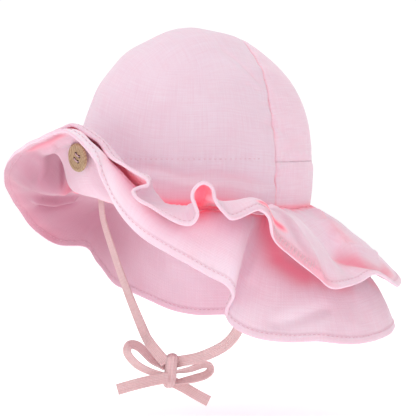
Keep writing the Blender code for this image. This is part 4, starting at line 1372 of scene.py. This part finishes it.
def sewn_thread(seat, stuff):
    """The thread through the four holes: a round tube along a path with rounded corners."""
    middle, x, y, n, stand = seat
    h, r = HOLE_SPACING / 2, THREAD_THICK / 2
    high = BUTTON_THICK - BUTTON_DISH + r * 1.3
    low = r - stand + HOLE_SPACING * math.sin(math.radians(BUTTON_LEAN))
    step_in = THREAD_CORNER
    top = high + THREAD_SWELL
    route = ((-h, -h, low), (-h, -h, high - step_in), (-h + step_in, -h, high), (0, -h, top),
             (h - step_in, -h, high), (h, -h, high - step_in), (h, -h, low + step_in),
             (h, -h + step_in, low), (h, h - step_in, low), (h, h, low + step_in),
             (h, h, high - step_in), (h - step_in, h, high), (0, h, top),
             (-h + step_in, h, high), (-h, h, high - step_in), (-h, h, low))
    q = through(route, THREAD_STEPS, False)
    line = middle + q[:, :1] * x + q[:, 1:2] * y + q[:, 2:3] * n
    along = unit(np.gradient(line, axis=0))
    other = unit(np.cross(along, x + y * 0.31 + n * 0.17))
    third = np.cross(along, other)
    run = run_of(line)
    a = round_angles(THREAD_SIDES)[None, :]
    radius = r * (0.86 + 0.14 * np.abs(np.sin(1.5 * a + run[:, None] * THREAD_PLY)))
    grid = (line[:, None] + (np.cos(a) * radius)[..., None] * other[:, None]
            + (np.sin(a) * radius)[..., None] * third[:, None])
    uv = np.zeros((len(line), THREAD_SIDES + 1, 2))
    obj = fill_ends(grid_mesh("sewn_thread", grid, uv, False, True, stuff))
    return placed(obj, "thread", "button_thread")


# making
def make_crown(front_cool_lit_stuff, crown_stuff, sewing):
    """Three panels cut from one sheet, and the stitch line round the front panel."""
    sheet = crown_sheet(CROWN_TURNS, CROWN_LEVELS)
    front = (0, OVER_SEAM - SEAM_SLIT, 0)
    rear = (0, OVER_SEAM + SEAM_SLIT, 0)
    above = (0, 0, BAND_TOP + SEAM_SLIT)
    below = (0, 0, BAND_TOP - SEAM_SLIT)
    crown_panel("front_panel", sheet, ((front, (0, 1, 0)),), front_cool_lit_stuff, "crown_front")
    crown_panel("back_panel", sheet, ((rear, (0, -1, 0)), (above, (0, 0, -1))), crown_stuff,
                "crown_back")
    crown_panel("low_back_panel", sheet, ((rear, (0, -1, 0)), (below, (0, 0, 1))), crown_stuff,
                "back_band")
    turn = np.linspace(-STITCH_TURN, STITCH_TURN, STITCH_POINTS)
    reach = crown_reach(turn, CROWN_STITCH + 0 * turn)
    line = at(turn, reach, CROWN_STITCH)
    line[:, 1] += CROWN_SWELL * math.sin(math.pi * CROWN_STITCH / CROWN_TALL)
    out = unit(line * np.array((1 / HALF_WIDE**2, 1 / HALF_LONG**2, 0.0)))
    line = line + out * crown_relief(line, np.abs(turn))[:, None]
    stitches("crown_stitches", line, out, sewing, space=CROWN_SPACE, closed=False)


def make_flounce(name, node, table, points, steps, seed, gather, ripple, folds, shades, stuffs):
    """One flounce: its cloth, the painted glow, shade and light on both faces, and its stitches."""
    hem_stuff, sewing, neatening = stuffs
    stations = flounce_rows(table, steps)
    curves = points(stations, np.linspace(0, 1, CURVE_POINTS))
    middle, hem_in, seam_in = by_length(curves, NEAR_HEM, CURVE_DOWN)
    u = run_of(curves[:, -1])[:, None] + 0 * hem_in
    fade = step(u, 0.0, JOIN_FADE) * (1 - step(u, u.max() - JOIN_FADE, u.max()))
    relief = flounce_relief(u, hem_in, seam_in, seed, gather, ripple) * fade
    turn = stations[:, :1] + 0 * hem_in
    long = hem_in + seam_in
    relief = relief + fold_relief(turn, seam_in / long, long, folds)
    made = flounce_cloth(middle, hem_in, relief)
    cloth = placed(grid_mesh(name, made[0], made[1], True, True, hem_stuff), "cotton", node)
    edge = np.zeros((len(turn), made[0].shape[1] - 2 * turn.shape[1]))
    # painted glow along the seam, painted shade along the hem, and painted glow, shade and light
    # from the tables on both faces
    at_seam = SEAM_PAINTED_GLOW[0] * hill(seam_in, SEAM_PAINTED_GLOW[1])
    at_hem = HEM_PAINTED_SHADE[0] * hill(hem_in - HEM_FOLD - HEM_PAINTED_SHADE[1], HEM_PAINTED_SHADE[2])
    for label, lines, least in zip(("painted_glow", "painted_shade", "painted_light"), shades, (at_seam, at_hem, 0.0)):
        upper, under = (np.maximum(tint_of(turn, seam_in / long, long, lines, face), least)
                        for face in ("upper", "under"))
        set_share(cloth, label, np.concatenate((under, edge, upper[:, ::-1]), 1))
    rows = [hem_stitches(name + "_stitches_out", made, hem_in, STITCH_IN, 1.0, sewing),
            hem_stitches(name + "_stitches_in", made, hem_in, STITCH_IN, -1.0, sewing)]
    if node == "upper_ruffle":
        rows.append(overlock("ruffle_overlock", made, hem_in, turn, neatening))


def make_hat():
    weave, shade = weave_group(), unevenness_group()
    # the front panel in the cooler, greyer pinks of painted cool light
    front_cool_lit_stuff = cotton("front_cotton_cool_lit", weave, shade, crown=True, cool_lit=True)
    crown_stuff = cotton("crown_cotton", weave, shade, crown=True)
    hem_stuff = cotton("flounce_cotton", weave, shade, hem=True)
    sewing = thread_stuff("sewing_thread", PINK_THREAD)
    neatening = thread_stuff("overlock_thread", OVERLOCK_THREAD)
    ribbed = tape_stuff(weave, shade)

    make_crown(front_cool_lit_stuff, crown_stuff, sewing)
    stuffs = (hem_stuff, sewing, neatening)
    make_flounce("ruffle_cloth", "upper_ruffle", RUFFLE, ruffle_points, steps=12, seed=31,
                 gather=0.0007, ripple=0.0005, folds=RUFFLE_FOLDS,
                 shades=(RUFFLE_PAINTED_GLOW, RUFFLE_PAINTED_SHADE, RUFFLE_PAINTED_LIGHT), stuffs=stuffs)
    make_flounce("flap_cloth", "neck_flap", FLAP, flap_points, steps=16, seed=47,
                 gather=0.0003, ripple=0.0007, folds=FLAP_FOLDS,
                 shades=(FLAP_PAINTED_GLOW, FLAP_PAINTED_SHADE, FLAP_PAINTED_LIGHT), stuffs=stuffs)

    for name, rows, node in (("far_tie", TIE_FAR, "tie_far"), ("near_tie", TIE_NEAR, "tie_near")):
        line, across = tie_line(run_on(rows, 0, 0.3), TIE_STEPS)
        tape(name, line, across, ribbed, node)
    for name, rows, last, node in (("far_loop", LOOP_FAR, 0.5, "bow_loop_far"),
                                   ("near_loop", LOOP_NEAR, 0.35, "bow_loop_near"),
                                   ("far_tail", TAIL_FAR, 0, "bow_tail_far"),
                                   ("near_tail", TAIL_NEAR, 0, "bow_tail_near")):
        line, across = bow_line(run_on(rows, 0.45, last), BOW_STEPS)
        tape(name, line, across, ribbed, node)
    knot_cloth(ribbed)

    seat = button_frame()
    # near-black painted shade for the walls of the button's holes
    hole_shade = new_material("hole_painted_shade", HOLE_PAINTED_SHADE, 0.8)[0]
    wooden_button(seat, wood_stuff(*seat[:4]), hole_shade)
    sewn_thread(seat, thread_stuff("button_sewing", BUTTON_SEWING))


# floor, light and camera
FLOOR = -0.150
FLOOR_HALF = 9.0
FLOOR_GREY = (0.93, 0.93, 0.94, 1.0)
FLOOR_GLOW = 0.42
WHITE = (1.0, 1.0, 1.0, 1.0)
WORLD_POWER, WORLD_SEEN = 0.65, 0.40     # even light, and what the camera sees beyond it
VIEW_TURN, VIEW_RISE, VIEW_FAR = 62, 2, 1.6
PIXEL = 0.00072          # metres to a picture point at the hat
PICTURE = 416
HAT_AXIS = 194.1         # the picture column of the hat's axis
SENSOR = 36.0
# azimuth, elevation, distance, size and power of each light
LIGHTS = (
    ("key", -15, 56, 1.7, 1.2, 7.0),
    ("fill", 70, 12, 1.8, 1.6, 4.0),
    ("top", 60, 80, 1.4, 1.2, 3.0),
    ("rear", 230, 35, 1.7, 1.2, 4.0),
)


def make_floor():
    mesh = bpy.data.meshes.new("floor")
    far = FLOOR_HALF
    mesh.from_pydata([(-far, -far, FLOOR), (far, -far, FLOOR), (far, far, FLOOR),
                      (-far, far, FLOOR)], [], [(0, 1, 2, 3)])
    m, _, shader = new_material("pale_floor", FLOOR_GREY, 0.9)
    set_inputs(shader, {"Emission Color": WHITE, "Emission Strength": FLOOR_GLOW})
    mesh.materials.append(m)
    obj = linked("floor", mesh)


def area_light(name, azimuth, elevation, distance, size, power):
    """A square soft light that looks at the hat."""
    data = bpy.data.lights.new(name, "AREA")
    data.size = size
    data.energy = power
    obj = linked(name, data)
    a, e = math.radians(azimuth), math.radians(elevation)
    way = np.array((math.sin(a) * math.cos(e), -math.cos(a) * math.cos(e), math.sin(e)))
    obj.location = tuple(way * distance)
    obj.rotation_euler = Vector(tuple(-way)).to_track_quat("-Z", "Y").to_euler()


def make_world():
    """Even white all round."""
    world = bpy.data.worlds.new("studio")
    bpy.context.scene.world = world
    world.use_nodes = True
    tree = world.node_tree
    back = tree.nodes["Background"]
    path = tree.nodes.new("ShaderNodeLightPath")
    back.inputs[0].default_value = WHITE
    power = sum_node(tree, "MULTIPLY_ADD", path.outputs["Is Camera Ray"], WORLD_SEEN, WORLD_POWER)
    tree.links.new(power, back.inputs[1])


def make_camera():
    """At the photograph's angle: turned 62 degrees to the wearer's left, 2 degrees up."""
    turn, rise = math.radians(VIEW_TURN), math.radians(VIEW_RISE)
    back = np.array((math.sin(turn) * math.cos(rise), -math.cos(turn) * math.cos(rise),
                     math.sin(rise)))
    right = np.array((math.cos(turn), math.sin(turn), 0.0))
    data = bpy.data.cameras.new("camera")
    data.sensor_width = SENSOR
    data.lens = SENSOR * VIEW_FAR / (PICTURE * PIXEL)
    data.clip_start, data.clip_end = 0.05, 40.0
    obj = linked("camera", data)
    aim = right * (PICTURE / 2 - HAT_AXIS) * PIXEL
    obj.location = tuple(aim + back * VIEW_FAR)
    obj.rotation_euler = Vector(tuple(-back)).to_track_quat("-Z", "Y").to_euler()
    bpy.context.scene.camera = obj


def main():
    make_camera()
    make_hat()
    make_floor()
    make_world()
    for row in LIGHTS:
        area_light(*row)
    bpy.context.scene.view_settings.view_transform = "Standard"


main()
